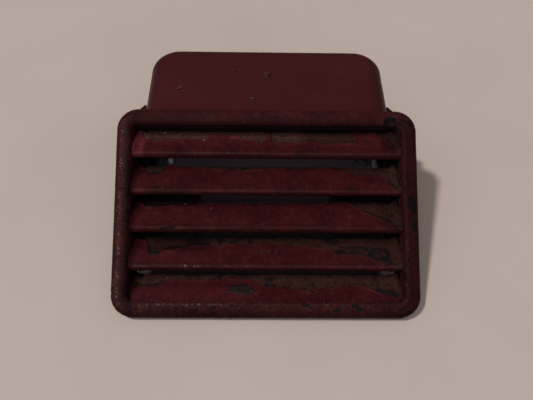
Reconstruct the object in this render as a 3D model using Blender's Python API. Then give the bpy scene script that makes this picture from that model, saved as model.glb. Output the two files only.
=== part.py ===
"""Low louvred cowl vent: a slanted face frame with five fixed slats in a hopper, a flat-topped hood
behind it, and a base plate with a T-shaped duct opening.

Frame: +Z up, base plane at z = 0, louvres face -Y and up, the hood is on the +Y side, X is the
width. The origin is the middle of the base plane, halfway along the whole length. Lengths are in
metres. The face is modelled flat in its own coordinates (x across, u up the slope, n out of the
face) and stood up by one empty, face_plane.
"""
import math

import bmesh
import bpy
from mathutils import Matrix, Vector

MM = 0.001


def mm(*values):
    """Millimetres to metres."""
    return tuple(value * MM for value in values)


# ---------------------------------------------------------------- shared dimensions
FACE_TILT = math.radians(27.0)   # slope of the face to the base plane
FACE_LIFT = 5.8 * MM             # height of the bead's crest plane at the front edge
FRONT_Y = -72.0 * MM             # front edge of the crest plane
CENTRE_SHIFT = -1.67 * MM        # puts the origin under the middle of the whole length

FACE_W = 152.4 * MM              # face frame, overall width (6 in)
FACE_H = 104.1 * MM              # face frame, overall height along its own slope
BEAD_W = 8.3 * MM                # width of the rolled bead
BEAD_H = 3.4 * MM                # rise of the bead
CHEEK_BEND_N = -BEAD_H - 1.0 * MM    # where the side cheeks start to lean in
CHEEK_IN = 1.2 * MM              # how far each side cheek leans in over its depth
HOPPER_DEPTH = 16.0 * MM         # depth of the hopper behind the crest plane

SCREW_X = 71.3 * MM
SCREW_U = mm(40.0, 59.5, 79.8)
SCREW_HOLE_R = 1.7 * MM
HOLE_SEGMENTS = 12               # screw and rivet holes

SIDES = (("left", -1), ("right", 1))
SCREW_PLACES = [(side * SCREW_X, u) for _, side in SIDES for u in SCREW_U]   # (x, u)

# cutters
OVERCUT = 1.0 * MM               # how far most cutters pass the surface they open
WIDE = (-0.1, 0.1)               # beyond the vent on both sides

# ---------------------------------------------------------------- clean start
for old_object in list(bpy.data.objects):
    bpy.data.objects.remove(old_object, do_unlink=True)


# ---------------------------------------------------------------- mesh helpers
def new_object(name, verts, faces, mat=None):
    mesh = bpy.data.meshes.new(name)
    mesh.from_pydata([tuple(v) for v in verts], [], faces)
    mesh.validate()
    bm = bmesh.new()
    bm.from_mesh(mesh)
    bmesh.ops.recalc_face_normals(bm, faces=bm.faces)
    bm.to_mesh(mesh)
    bm.free()
    obj = bpy.data.objects.new(name, mesh)
    bpy.context.scene.collection.objects.link(obj)
    if mat:
        mesh.materials.append(mat)
    return obj


def new_empty(name):
    empty = bpy.data.objects.new(name, None)
    bpy.context.scene.collection.objects.link(empty)
    return empty


def loft(name, rings, mat=None, closed=False):
    """Skin over equal rings, capped at both ends, or joined last ring to first if closed."""
    n, count = len(rings[0]), len(rings)
    faces = []
    if not closed:
        faces = [tuple(range(n))[::-1], tuple(range((count - 1) * n, count * n))]
    for j in range(count if closed else count - 1):
        low, high = j * n, (j + 1) % count * n
        faces += [
            (low + i, low + (i + 1) % n, high + (i + 1) % n, high + i) for i in range(n)
        ]
    return new_object(name, [point for ring in rings for point in ring], faces, mat)


def prism(name, outline, low, high, mat=None, axis="z"):
    """A closed outline in (x, y) pushed along z, or in (y, z) pushed along x."""
    if axis == "x":
        rings = [[(t, a, b) for a, b in outline] for t in (low, high)]
    else:
        rings = [[(a, b, t) for a, b in outline] for t in (low, high)]
    return loft(name, rings, mat)


def box(x, y, z):
    """Tool block, for cut() or fuse()."""
    outline = [(x[0], y[0]), (x[1], y[0]), (x[1], y[1]), (x[0], y[1])]
    return prism("tool", outline, z[0], z[1])


def polygon(radius, segments, centre=(0, 0)):
    """Regular polygon with its first corner half a step round from +X."""
    angles = [2 * math.pi * (k + 0.5) / segments for k in range(segments)]
    return [
        (centre[0] + radius * math.cos(a), centre[1] + radius * math.sin(a)) for a in angles
    ]


def cylinder(radius, low, high, centre=(0, 0), segments=16):
    """Tool cylinder along z, for cut() or fuse()."""
    return prism("tool", polygon(radius, segments, centre), low, high)


def turned(name, profile, mat, segments=14):
    """A turned piece about z from (radius, z) points, closed to the axis at both ends."""
    verts = [(0, 0, profile[0][1])]
    starts = []
    for r, z in profile:
        starts.append(len(verts))
        for k in range(segments):
            a = 2 * math.pi * k / segments
            verts.append((r * math.cos(a), r * math.sin(a), z))
    verts.append((0, 0, profile[-1][1]))
    end = len(verts) - 1
    faces = []
    for k in range(segments):
        after = (k + 1) % segments
        faces.append((0, starts[0] + after, starts[0] + k))
        faces.append((end, starts[-1] + k, starts[-1] + after))
        for a, b in zip(starts, starts[1:]):
            faces.append((a + k, a + after, b + after, b + k))
    return new_object(name, verts, faces, mat)


def boolean(target, tool, operation):
    """Applies the tool to the target's mesh and removes the tool."""
    modifier = target.modifiers.new(operation.lower(), "BOOLEAN")
    modifier.operation = operation
    modifier.solver = "EXACT"
    modifier.object = tool
    bpy.context.view_layer.update()
    deps = bpy.context.evaluated_depsgraph_get()
    mesh = bpy.data.meshes.new_from_object(target.evaluated_get(deps), depsgraph=deps)
    target.modifiers.clear()
    old_mesh = target.data
    target.data = mesh
    bpy.data.meshes.remove(old_mesh)
    bpy.data.objects.remove(tool, do_unlink=True)


def cut(target, tool):
    boolean(target, tool, "DIFFERENCE")


def fuse(target, tool):
    boolean(target, tool, "UNION")


FINE_MERGE = 0.005 * MM          # merge distance for the small turned pieces


def tidy(obj, merge=0.01 * MM):
    """Merges stray points and flat faces, and shades smooth with sharp edges."""
    bm = bmesh.new()
    bm.from_mesh(obj.data)
    bmesh.ops.remove_doubles(bm, verts=bm.verts, dist=merge)
    bmesh.ops.dissolve_degenerate(bm, edges=bm.edges, dist=merge)
    bmesh.ops.dissolve_limit(
        bm, angle_limit=math.radians(0.5), verts=bm.verts, edges=bm.edges
    )
    bmesh.ops.triangulate(bm, faces=[f for f in bm.faces if len(f.verts) > 4])
    bmesh.ops.recalc_face_normals(bm, faces=bm.faces)
    bm.to_mesh(obj.data)
    bm.free()
    obj.data.shade_smooth()
    obj.data.set_sharp_from_angle(angle=math.radians(32))


def span(side, near, far):
    """Range of x from near to far of the centre line, on one side."""
    return sorted((side * near, side * far))


# ---------------------------------------------------------------- materials
def material(name, colour, roughness, metallic):
    mat = bpy.data.materials.new(name)
    mat.use_nodes = True
    inputs = mat.node_tree.nodes["Principled BSDF"].inputs
    inputs["Base Color"].default_value = (*colour, 1.0)
    inputs["Roughness"].default_value = roughness
    inputs["Metallic"].default_value = metallic
    return mat


PAINT = material("maroon_paint", colour=(0.075, 0.011, 0.013), roughness=0.42, metallic=0.0)
PAINT_WORN = material(
    "maroon_paint_worn", colour=(0.070, 0.014, 0.014), roughness=0.50, metallic=0.0
)
PLATE_GREY = material("plate_grey", colour=(0.10, 0.095, 0.11), roughness=0.35, metallic=0.8)
RUBBER = material("black_rubber", colour=(0.015, 0.012, 0.012), roughness=0.8, metallic=0.0)
STEEL = material("screw_steel", colour=(0.35, 0.34, 0.33), roughness=0.35, metallic=1.0)
RIVET = material("rivet_alloy", colour=(0.40, 0.39, 0.38), roughness=0.4, metallic=1.0)

# ---------------------------------------------------------------- the sloping face
face_plane = new_empty("face_plane")
face_plane.location = (0.0, FRONT_Y, FACE_LIFT)
face_plane.rotation_euler = (FACE_TILT, 0.0, 0.0)
bpy.context.view_layer.update()
FROM_FACE = face_plane.matrix_world.copy()
TO_FACE = FROM_FACE.inverted()


def moved(tool, matrix: Matrix):
    """Takes a tool's mesh from one coordinate frame to another."""
    tool.data.transform(matrix)
    return tool


def ground_block(top):
    """Everything under height top, in face coordinates."""
    return moved(box(WIDE, (-0.12, 0.12), (-0.05, top)), TO_FACE)


def stand_up(obj):
    """Puts a piece modelled in face coordinates on the sloping face."""
    obj.parent = face_plane


# ---------------------------------------------------------------- slat section, in (u, n)
SLAT_COUNT = 5
SLAT_U0 = 4.1 * MM               # front edge of the lowest slat, up the face
SLAT_PITCH = 18.8 * MM           # slat spacing up the face
SLAT_T = 1.2 * MM                # slat sheet
SLAT_BEND = Vector(mm(2.4, -0.75))   # front face bends into the slope, from the front edge
SLAT_REAR = Vector(mm(16.2, -13.8))  # rear edge, from the front edge
SLAT_DIR = (SLAT_REAR - SLAT_BEND).normalized()    # down the slat, front to rear
SLAT_DOWN = Vector((SLAT_DIR.y, -SLAT_DIR.x))      # out of its lower side
BEND_ROUND = mm(0.5, 0.08)       # points beside the bend: along the slope, and in
KNEE_U = 1.5 * MM                # where the underside meets the lip
# the front face and its rolled lip, from the bend round to the knee: (u, n) in mm
SLAT_LIP = (
    (1.8, -0.86), (0.5, -1.3), (0.14, -1.55), (0.0, -1.95),
    (0.08, -3.0), (0.5, -3.35), (1.15, -3.2),
)
LOWEST_SETBACK = 0.8 * MM        # lowest slat's start, from the hopper's bottom wall
SLAT_END_GAP = 0.3 * MM          # between a slat's end and the cheek
LOWEST_END_GAP = 0.7 * MM        # added for the lowest slat, clears the round corners

TAB_S = mm(9.0, 15.0)            # where each end tab starts and stops along the slat
TAB_X = mm(62.0, 69.6)           # tab's root inside the slat, and its end
TAB_INSET = 0.1 * MM             # tab is this much thinner than the sheet on each side
TAB_CLEAR = 0.4 * MM             # slit clearance round a tab
SLIT_X = mm(60.0, 72.0)


def along_slope(start, u):
    """The point at u on the line through start along the slat."""
    return start + SLAT_DIR * ((u - start.x) / SLAT_DIR.x)


UNDER_BEND = SLAT_BEND + SLAT_DOWN * SLAT_T
UNDER_REAR = SLAT_REAR + SLAT_DOWN * SLAT_T


def slat_profile():
    """The bend, the front face dropping to a rolled lip, then the flat sloping sheet."""
    past_bend = SLAT_BEND + SLAT_DIR * BEND_ROUND[0]
    below_bend = (SLAT_BEND.x, SLAT_BEND.y - BEND_ROUND[1])
    lip = [mm(*point) for point in SLAT_LIP]
    knee = along_slope(UNDER_BEND, KNEE_U)
    return [past_bend, below_bend, *lip, knee, UNDER_REAR, SLAT_REAR]


def lowest_profile():
    """The lowest slat has no lip: it starts just inside the hopper's bottom wall."""
    start = BEAD_W + LOWEST_SETBACK - SLAT_U0
    return [
        along_slope(SLAT_BEND, start), along_slope(UNDER_BEND, start), UNDER_REAR, SLAT_REAR,
    ]


def with_break(profile):
    """Adds points where a profile passes the cheek's bend, so that slat ends follow the cheek."""
    out = []
    for p, q in zip(profile, profile[1:] + profile[:1]):
        out.append(p)
        if (p[1] - CHEEK_BEND_N) * (q[1] - CHEEK_BEND_N) < 0:
            t = (CHEEK_BEND_N - p[1]) / (q[1] - p[1])
            out.append((p[0] + (q[0] - p[0]) * t, CHEEK_BEND_N))
    return out


def slat_half(n):
    """Half length of a slat at depth n: the cheek's face less a small gap."""
    t = max(0.0, (CHEEK_BEND_N - n) / (HOPPER_DEPTH + CHEEK_BEND_N))
    return FACE_W / 2 - BEAD_W - CHEEK_IN * t - SLAT_END_GAP


def slat_u(i):
    return SLAT_U0 + i * SLAT_PITCH


def sloped_box(u, s, depth, x):
    """Tool block lying along the slat at u: s along it, depth down from its upper side."""
    base = SLAT_BEND + Vector((u, 0.0))
    corners = ((s[0], depth[0]), (s[1], depth[0]), (s[1], depth[1]), (s[0], depth[1]))
    outline = [tuple(base + SLAT_DIR * a + SLAT_DOWN * b) for a, b in corners]
    return prism("tool", outline, x[0], x[1], axis="x")


def build_slat(i):
    lowest = i == 0
    profile = with_break(lowest_profile() if lowest else slat_profile())
    extra = LOWEST_END_GAP if lowest else 0.0
    verts = [
        (side * (slat_half(n) - extra), slat_u(i) + u, n) for side in (-1, 1) for u, n in profile
    ]
    k = len(profile)
    faces = [tuple(range(k)), tuple(range(k, 2 * k))[::-1]]
    faces += [(j, (j + 1) % k, k + (j + 1) % k, k + j) for j in range(k)]
    slat = new_object("louver_%d" % (i + 1), verts, faces, PAINT_WORN)
    for _, side in SIDES:
        depth = (TAB_INSET, SLAT_T - TAB_INSET)
        fuse(slat, sloped_box(slat_u(i), TAB_S, depth, span(side, *TAB_X)))
    stand_up(slat)
    tidy(slat)


# ---------------------------------------------------------------- hood dimensions
HOOD_TOP_Z = 48.5 * MM           # flat top over the base plane
HOOD_REAR_Y = 72.0 * MM          # outside of the rear wall at the top
HOOD_REAR_DRAFT = 0.4 * MM       # how much further back the rear wall is at the base
HOOD_HALF_TOP = 63.4 * MM        # half width at the top
HOOD_HALF_BASE = 66.3 * MM       # half width at the base (moulding draft)
HOOD_CORNER_R = 15.0 * MM        # rear corners, in plan
HOOD_EDGE_R = 5.5 * MM           # top edges
HOOD_T = 1.5 * MM                # wall
HOOD_TUCK_U = 98.6 * MM          # where the top tucks in under the bead, up the face
PAD_HALF = 35.5 * MM             # pressed pad in the middle of the rear wall
PAD_DEPTH = 0.6 * MM
PAD_Z = 7.0 * MM                 # bottom of the pad
FLANGE_N = mm(-17.7, -19.2)      # side flanges, parallel to the face: front and back surfaces
FLANGE_U = mm(26.0, 104.0)
FLANGE_X = mm(58.0, 74.2)        # flange's root inside the hood, and its outer edge
FLANGE_DROP = 0.02 * MM          # keeps the flange clear of the front cut

# ---------------------------------------------------------------- face frame
FACE_R = 10.5 * MM               # outer corner radius
MIN_CORNER_R = 1.2 * MM          # inner loops keep at least this corner radius
BEAD_CREST = 6.2 * MM            # crest in from the outer edge: long outer, short inner slope
RIM_DEPTH = 6.5 * MM             # turned-down rim outside the bead
SHEET = 1.3 * MM                 # wall
INNER_BEND_DROP = 0.2 * MM       # cheek's bend sits this much deeper on the back of the wall
BOSS_R = 2.8 * MM
BOSS_TOP_N = -1.9 * MM
PILOT_R = 1.45 * MM
PILOT_TOP_N = -5.0 * MM
RELIEF_SIDE_GAP = 0.6 * MM       # relief cut round the hood's top, under the top bead
RELIEF_LOW_GAP = 0.3 * MM
RELIEF_N = mm(-12.0, -4.1)


def rounded_loop(side_inset, top_inset, bottom_inset, n, arc=8):
    """Rounded rectangle inside the frame's outline, at height n."""
    half = FACE_W / 2 - side_inset
    top = FACE_H - top_inset
    radius = max(FACE_R - side_inset, MIN_CORNER_R)
    x, high, low = half - radius, top - radius, bottom_inset + radius
    points = []
    for cx, cu, start in ((x, high, 0), (-x, high, 90), (-x, low, 180), (x, low, 270)):
        for k in range(arc + 1):
            a = math.radians(start + 90 * k / arc)
            points.append((cx + radius * math.cos(a), cu + radius * math.sin(a), n))
    return points


def bead_point(t, off):
    """(inset, n) on the bead: t 0 to 1 up the outer slope to the crest, 1 to 2 down the inner.

    off is the distance inside the outer surface.
    """
    rise = BEAD_H - off
    if t <= 1:
        a = math.pi / 2 * t
        return BEAD_CREST - (BEAD_CREST - off) * math.cos(a), -BEAD_H + rise * math.sin(a)
    a = math.pi / 2 * (t - 1)
    return BEAD_CREST + (BEAD_W - off - BEAD_CREST) * math.sin(a), -BEAD_H + rise * math.cos(a)


def frame_section():
    """Closed section as (side inset, top inset, bottom inset, n).

    It goes over the bead, down the hopper and back underneath.
    """
    def even(inset, n):
        return (inset, inset, inset, n)

    foot = BEAD_W + CHEEK_IN
    inner = BEAD_W - SHEET
    section = [even(0, -RIM_DEPTH)]
    section += [even(*bead_point(k / 5, 0.0)) for k in range(11)]
    section += [
        even(BEAD_W, CHEEK_BEND_N),
        (foot, BEAD_W, BEAD_W, -HOPPER_DEPTH),
        (foot - SHEET, inner, inner, -HOPPER_DEPTH),
        even(inner, CHEEK_BEND_N - INNER_BEND_DROP),
    ]
    section += [even(*bead_point(k / 4, SHEET)) for k in range(8, -1, -1)]
    section.append(even(SHEET, -RIM_DEPTH))
    return section


def build_face_frame():
    loops = [rounded_loop(*station) for station in frame_section()]
    frame = loft("face_frame", loops, PAINT_WORN, closed=True)
    for place in SCREW_PLACES:
        fuse(frame, cylinder(BOSS_R, -HOPPER_DEPTH, BOSS_TOP_N, place))
        cut(frame, cylinder(PILOT_R, -HOPPER_DEPTH - OVERCUT, PILOT_TOP_N, place))
    # slits for the slats' end tabs
    slit_s = (TAB_S[0] - TAB_CLEAR, TAB_S[1] + TAB_CLEAR)
    slit_depth = (-TAB_CLEAR, SLAT_T + TAB_CLEAR)
    for i in range(SLAT_COUNT):
        for _, side in SIDES:
            cut(frame, sloped_box(slat_u(i), slit_s, slit_depth, span(side, *SLIT_X)))
    # relief behind the top bead, where the hood comes out
    half = HOOD_HALF_TOP + RELIEF_SIDE_GAP
    relief_u = (HOOD_TUCK_U - RELIEF_LOW_GAP, FACE_H + 3 * OVERCUT)
    cut(frame, box((-half, half), relief_u, RELIEF_N))
    # the bottom edge is flat on the base plane
    cut(frame, ground_block(0.0))
    stand_up(frame)
    tidy(frame)


# ---------------------------------------------------------------- hood surfaces
def hood_half(z):
    return HOOD_HALF_TOP + (HOOD_HALF_BASE - HOOD_HALF_TOP) * (HOOD_TOP_Z - z) / HOOD_TOP_Z


def hood_rear(z):
    return HOOD_REAR_Y + HOOD_REAR_DRAFT * (HOOD_TOP_Z - z) / HOOD_TOP_Z


def rear_rounded_plan(half, front, rear, radius, arc):
    """Rectangle in (x, y) with square front corners and round rear ones."""
    points = [(-half, front), (half, front)]
    for cx, start in ((half - radius, 0.0), (-half + radius, math.pi / 2)):
        for k in range(arc + 1):
            a = start + math.pi / 2 * k / arc
            points.append((cx + radius * math.cos(a), rear - radius + radius * math.sin(a)))
    return points


def hood_block(name, inset, bottom, front, mat=None):
    """Solid hood with drafted walls and a rounded top edge; inset is taken off all round."""
    edge = HOOD_EDGE_R - inset
    top = HOOD_TOP_Z - inset
    levels = [(bottom, 0.0)]     # (z, set-in of the walls)
    for k in range(8):
        a = math.pi / 2 * k / 7
        levels.append((top - edge + edge * math.sin(a), edge * (1 - math.cos(a))))
    rings = []
    for z, off in levels:
        half, rear = hood_half(z) - inset - off, hood_rear(z) - inset - off
        radius = max(HOOD_CORNER_R - inset - off, 1 * MM)
        plan = rear_rounded_plan(half, front, rear, radius, arc=12)
        rings.append([(x, y, z) for x, y in plan])
    return loft(name, rings, mat)


# ---------------------------------------------------------------- rivets, hood wall to plate
SIDE_RIVET_Y = mm(-5.0, 46.0)
REAR_RIVET_X = mm(-24.0, 24.0)
RIVET_Z = 5.6 * MM
RIVET_HOLE_R = 2.0 * MM
RIVET_GRIP = 4.4 * MM            # from the hood's outer surface in to the rivet's tail
# (radius, z from the hood's outer surface), tail to head
RIVET_PROFILE = (
    (1.5 * MM, -RIVET_GRIP - 1.3 * MM), (2.5 * MM, -RIVET_GRIP - 0.7 * MM),
    (2.5 * MM, -RIVET_GRIP), (1.6 * MM, -RIVET_GRIP),
    mm(1.6, 0.35), mm(3.2, 0.35), mm(3.0, 0.8), mm(2.1, 1.4), mm(1.0, 1.65),
)


def rivet_places():
    """(name, point on the hood's outer surface, outward direction) of each rivet."""
    out = []
    for tag, side in SIDES:
        for y, end in zip(SIDE_RIVET_Y, ("front", "rear")):
            at = Vector((side * hood_half(RIVET_Z), y, RIVET_Z))
            out.append(("base_rivet_%s_%s" % (tag, end), at, Vector((side, 0, 0))))
    for x, tag in zip(REAR_RIVET_X, ("left", "right")):
        at = Vector((x, hood_rear(RIVET_Z), RIVET_Z))
        out.append(("base_rivet_back_%s" % tag, at, Vector((0, 1, 0))))
    return out


def aim(obj, at, outward):
    """Puts a piece modelled along +Z at a point, facing a direction."""
    obj.location = at
    obj.rotation_euler = Vector((0, 0, 1)).rotation_difference(outward).to_euler()


def cut_rivet_holes(target, reach):
    """Rivet holes, reach deep from the hood's outer surface."""
    for _, at, outward in rivet_places():
        tool = cylinder(RIVET_HOLE_R, -reach, 3 * OVERCUT, segments=HOLE_SEGMENTS)
        aim(tool, at, outward)
        cut(target, tool)


def build_rivets():
    for name, at, outward in rivet_places():
        rivet = turned(name, RIVET_PROFILE, RIVET)
        tidy(rivet, FINE_MERGE)
        aim(rivet, at, outward)


# ---------------------------------------------------------------- hood
def build_hood():
    # the block runs out past the face and is cut back to it below
    hood = hood_block("hood_shell", 0.0, 0.0, FRONT_Y - 20 * MM, PAINT)
    flange_n = (FLANGE_N[1], FLANGE_N[0] - FLANGE_DROP)
    for _, side in SIDES:
        fuse(hood, moved(box(span(side, *FLANGE_X), FLANGE_U, flange_n), FROM_FACE))
    # the pressed pad of the rear wall sits a little inside it
    pad_y = (HOOD_REAR_Y - PAD_DEPTH, HOOD_REAR_Y + 9 * OVERCUT)
    cut(hood, box((-PAD_HALF, PAD_HALF), pad_y, (PAD_Z, HOOD_TOP_Z + OVERCUT)))
    cut(hood, hood_block("hollow", HOOD_T, -2 * OVERCUT, FRONT_Y - 25 * MM))
    # open front, parallel to the face
    cut(hood, moved(box(WIDE, (-0.2, HOOD_TUCK_U), (FLANGE_N[0], 0.1)), FROM_FACE))
    for place in SCREW_PLACES:
        low, high = FLANGE_N[1] - 2 * OVERCUT, FLANGE_N[0] + 2 * OVERCUT
        tool = cylinder(SCREW_HOLE_R, low, high, place, HOLE_SEGMENTS)
        cut(hood, moved(tool, FROM_FACE))
    cut_rivet_holes(hood, 6 * MM)
    tidy(hood)


# ---------------------------------------------------------------- base plate
PLATE_T = 1.5 * MM
PLATE_GAP = 0.35 * MM            # clearance inside the hood's wall
PLATE_SIDE_GAP = 0.45 * MM       # added at the sides
PLATE_FRONT_Y = -43.5 * MM
UPTURN_H = 9.0 * MM              # turned-up edge
UPTURN_T = 1.2 * MM
UPTURN_START = 26.0 * MM         # the edge starts this far back from the plate's front
DUCT_HALF_STEM = 36.8 * MM       # T-shaped duct opening, stem to the front
DUCT_HALF_BAR = 53.5 * MM
DUCT_Y = mm(-33.0, 15.0, 60.0)   # stem start, stem to bar, bar end
NUT_HOLE_R = 3.0 * MM
NUT_PLACES = (mm(-58.3, 28.0), mm(58.3, 28.0), mm(-49.5, -16.0), mm(49.5, -16.0))


def plate_outline(inset):
    half = HOOD_HALF_BASE - HOOD_T - PLATE_GAP - PLATE_SIDE_GAP - inset
    rear = HOOD_REAR_Y - HOOD_T - PLATE_GAP - inset
    radius = HOOD_CORNER_R - HOOD_T - inset
    return rear_rounded_plan(half, PLATE_FRONT_Y + inset, rear, radius, arc=6)


def duct_outline():
    stem, bar = DUCT_HALF_STEM, DUCT_HALF_BAR
    start, step, end = DUCT_Y
    return [
        (-stem, start), (stem, start), (stem, step), (bar, step),
        (bar, end), (-bar, end), (-bar, step), (-stem, step),
    ]


def build_base_plate():
    plate = prism("base_plate", plate_outline(0.0), 0.0, UPTURN_H, PLATE_GREY)
    cut(plate, prism("tool", plate_outline(UPTURN_T), PLATE_T, UPTURN_H + 2 * OVERCUT))
    cut(plate, box(WIDE, (-0.1, PLATE_FRONT_Y + UPTURN_START), (PLATE_T, 0.05)))
    cut(plate, prism("tool", duct_outline(), -OVERCUT, PLATE_T + OVERCUT))
    for place in NUT_PLACES:
        cut(plate, cylinder(NUT_HOLE_R, -OVERCUT, PLATE_T + OVERCUT, place))
    cut_rivet_holes(plate, 7 * MM)
    tidy(plate)


# ---------------------------------------------------------------- captive nuts
NUT_AF = 8.0 * MM                # across flats
NUT_Z = mm(0.3, 5.0)             # hexagon's bottom and top over the plate
NUT_BORE_R = 2.1 * MM            # M5 thread, minor diameter
COLLAR_R = 2.7 * MM              # collar in the plate's hole
COLLAR_Z = (-PLATE_T + 0.1 * MM, 1.0 * MM)


def build_nuts():
    """Captive nuts, for screws from under the plate."""
    for k, (x, y) in enumerate(NUT_PLACES):
        hexagon = polygon(NUT_AF / math.sqrt(3), 6)
        nut = prism("captive_nut_%d" % (k + 1), hexagon, *NUT_Z, STEEL)
        fuse(nut, cylinder(COLLAR_R, *COLLAR_Z))
        cut(nut, cylinder(NUT_BORE_R, -4 * OVERCUT, NUT_Z[1] + OVERCUT))
        nut.location = (x, y, PLATE_T)
        tidy(nut)


# ---------------------------------------------------------------- gaskets
GASKET_N = mm(-16.3, -17.4)
GASKET_LIFT = 0.4 * MM           # clearance over the base plane
# outline of one side: (distance from the centre line, u) in mm
GASKET_OUTLINE = (
    (66.9, 24.5), (73.6, 24.5), (73.6, 101.0), (69.2, 107.4),
    (65.7, 110.6), (64.9, 110.6), (64.9, 101.0), (66.9, 97.0),
)


def build_gaskets():
    """Gaskets between the hopper and the hood's flanges."""
    for tag, side in SIDES:
        outline = [mm(side * x, u) for x, u in GASKET_OUTLINE]
        gasket = prism("gasket_%s" % tag, outline, GASKET_N[1], GASKET_N[0], RUBBER)
        for u in SCREW_U:
            tool = cylinder(SCREW_HOLE_R, -0.03, 0.0, (side * SCREW_X, u), HOLE_SEGMENTS)
            cut(gasket, tool)
        cut(gasket, ground_block(GASKET_LIFT))
        stand_up(gasket)
        tidy(gasket)


# ---------------------------------------------------------------- hood screws
SCREW_R = 1.1 * MM
SCREW_TIP_N = mm(9.8, 10.8)      # start and end of the tapered tip, from under the head
HEAD_R = 2.4 * MM
HEAD_H = 1.7 * MM
HEAD_SEAT_N = FLANGE_N[1] - 0.3 * MM     # under the head
SLOT_WIDTH = mm(-0.35, 0.35)     # cross recess
SLOT_LENGTH = mm(-1.5, 1.5)
SLOT_N = (-HEAD_H - OVERCUT, -HEAD_H + 0.8 * MM)
# (radius, n from under the head), head to tip
SCREW_PROFILE = (
    (HEAD_R * 0.5, -HEAD_H), (HEAD_R * 0.82, -HEAD_H * 0.85), (HEAD_R, -HEAD_H * 0.45),
    (HEAD_R, 0.0), (SCREW_R, 0.0), (SCREW_R, SCREW_TIP_N[0]), (SCREW_R * 0.5, SCREW_TIP_N[1]),
)


def build_screws():
    """Screws from behind the flanges, into the frame's bosses."""
    for tag, side in SIDES:
        for u, height in zip(SCREW_U, ("low", "mid", "high")):
            screw = turned("hood_screw_%s_%s" % (tag, height), SCREW_PROFILE, STEEL)
            cut(screw, box(SLOT_WIDTH, SLOT_LENGTH, SLOT_N))
            cut(screw, box(SLOT_LENGTH, SLOT_WIDTH, SLOT_N))
            screw.location = (side * SCREW_X, u, HEAD_SEAT_N)
            stand_up(screw)
            tidy(screw, FINE_MERGE)


# ---------------------------------------------------------------- the whole vent, on one empty
def gather_on_vent():
    vent = new_empty("vent")
    for obj in list(bpy.data.objects):
        if obj.parent is None and obj is not vent:
            obj.parent = vent
    vent.location.y = CENTRE_SHIFT


build_face_frame()
for slat_index in range(SLAT_COUNT):
    build_slat(slat_index)
build_hood()
build_base_plate()
build_nuts()
build_gaskets()
build_screws()
build_rivets()
gather_on_vent()
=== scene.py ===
"""Looks of a low louvred cowl vent: thick, pebbled maroon paint that flakes off a brown patina.

The CAD pieces stay as the frame. Closed paint skins lie over them: one round the face frame, one on
each of the five slats and one on the hood. Film height, torn edges, chips and grit are real relief,
and per-point values drive the same edges in the materials.
In the scene X runs across, Y from the low front to the hood's rear, Z up from the base.
Most lengths are millimetres in face coordinates: x across, `up` the sloping face, `out` of it.
"""
import math
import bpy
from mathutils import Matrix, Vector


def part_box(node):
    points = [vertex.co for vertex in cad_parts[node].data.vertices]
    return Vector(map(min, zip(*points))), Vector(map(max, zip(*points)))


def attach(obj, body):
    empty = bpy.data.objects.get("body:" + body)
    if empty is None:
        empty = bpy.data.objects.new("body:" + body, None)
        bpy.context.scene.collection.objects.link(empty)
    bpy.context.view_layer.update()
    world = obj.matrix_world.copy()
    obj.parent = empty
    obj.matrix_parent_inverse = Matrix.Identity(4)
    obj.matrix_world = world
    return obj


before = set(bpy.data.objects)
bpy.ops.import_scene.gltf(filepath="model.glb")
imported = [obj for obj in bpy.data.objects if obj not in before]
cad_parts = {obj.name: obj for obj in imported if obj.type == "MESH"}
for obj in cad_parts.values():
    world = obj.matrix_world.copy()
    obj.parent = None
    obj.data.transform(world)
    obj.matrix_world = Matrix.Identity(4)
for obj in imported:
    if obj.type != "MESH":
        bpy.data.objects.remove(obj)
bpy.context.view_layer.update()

from fnmatch import fnmatchcase
from types import SimpleNamespace

import bmesh
import bpy
import numpy as np
from mathutils import Matrix, Vector

MM = 0.001

# ---------------------------------------------------------------- dimensions (mm)
FACE_W, FACE_H, FACE_R = 152.4, 104.1, 10.5
BEAD_W, BEAD_H, BEAD_CREST = 8.3, 3.4, 6.2     # CREST is the crest's inset from the outline
DEPTH, CHEEK_IN = 16.0, 1.2                    # inner walls: depth, and lean of the side walls
TILT, LIFT = math.radians(27.0), 5.8
COS, SIN = math.cos(TILT), math.sin(TILT)

SLAT_UP, PITCH, LOWEST = 4.1, 18.8, 1
SLAT_STEP = 0.42
SLOPE_END = 18.95
BEND, REAR = np.array((2.4, -0.75)), np.array((16.2, -13.8))   # in (up, out) from a slat's origin
RUN = (REAR - BEND) / np.linalg.norm(REAR - BEND)              # down the slat's slope
RISE = np.array((-RUN[1], RUN[0]))                             # away from the slope's top

HOOD_TOP, HOOD_REAR, HOOD_HALF, HOOD_BASE_HALF = 48.5, 72.0, 63.4, 66.3
HOOD_CORNER, HOOD_EDGE = 15.0, 5.5
HOOD_FLARE = 0.4                               # how far the rear wall's foot stands out
HOOD_FRONT = 72.0                              # hood coordinates start this far behind the face
FLANGE_DEPTH, TUCK_UP = 17.4, 98.8             # planes that cut the front ends of the hood's walls
PAD_HALF, PAD_RISE = 35.5, 0.6                 # shallow raised pad on the rear wall

FRONT_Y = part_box("hood_shell")[1].y / MM - HOOD_REAR - HOOD_FLARE - HOOD_FRONT
SHIFT_Y = FRONT_Y + HOOD_FRONT

FRAME_SEED, HOOD_SEED = 900, 700               # a slat's seed is 100 times its number


def to_row(points):
    """Face coordinates (mm) to the scene (metres)."""
    x, up, out = np.moveaxis(points, -1, 0)
    return np.stack([x, FRONT_Y + up * COS - out * SIN, LIFT + up * SIN + out * COS], -1) * MM


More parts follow.
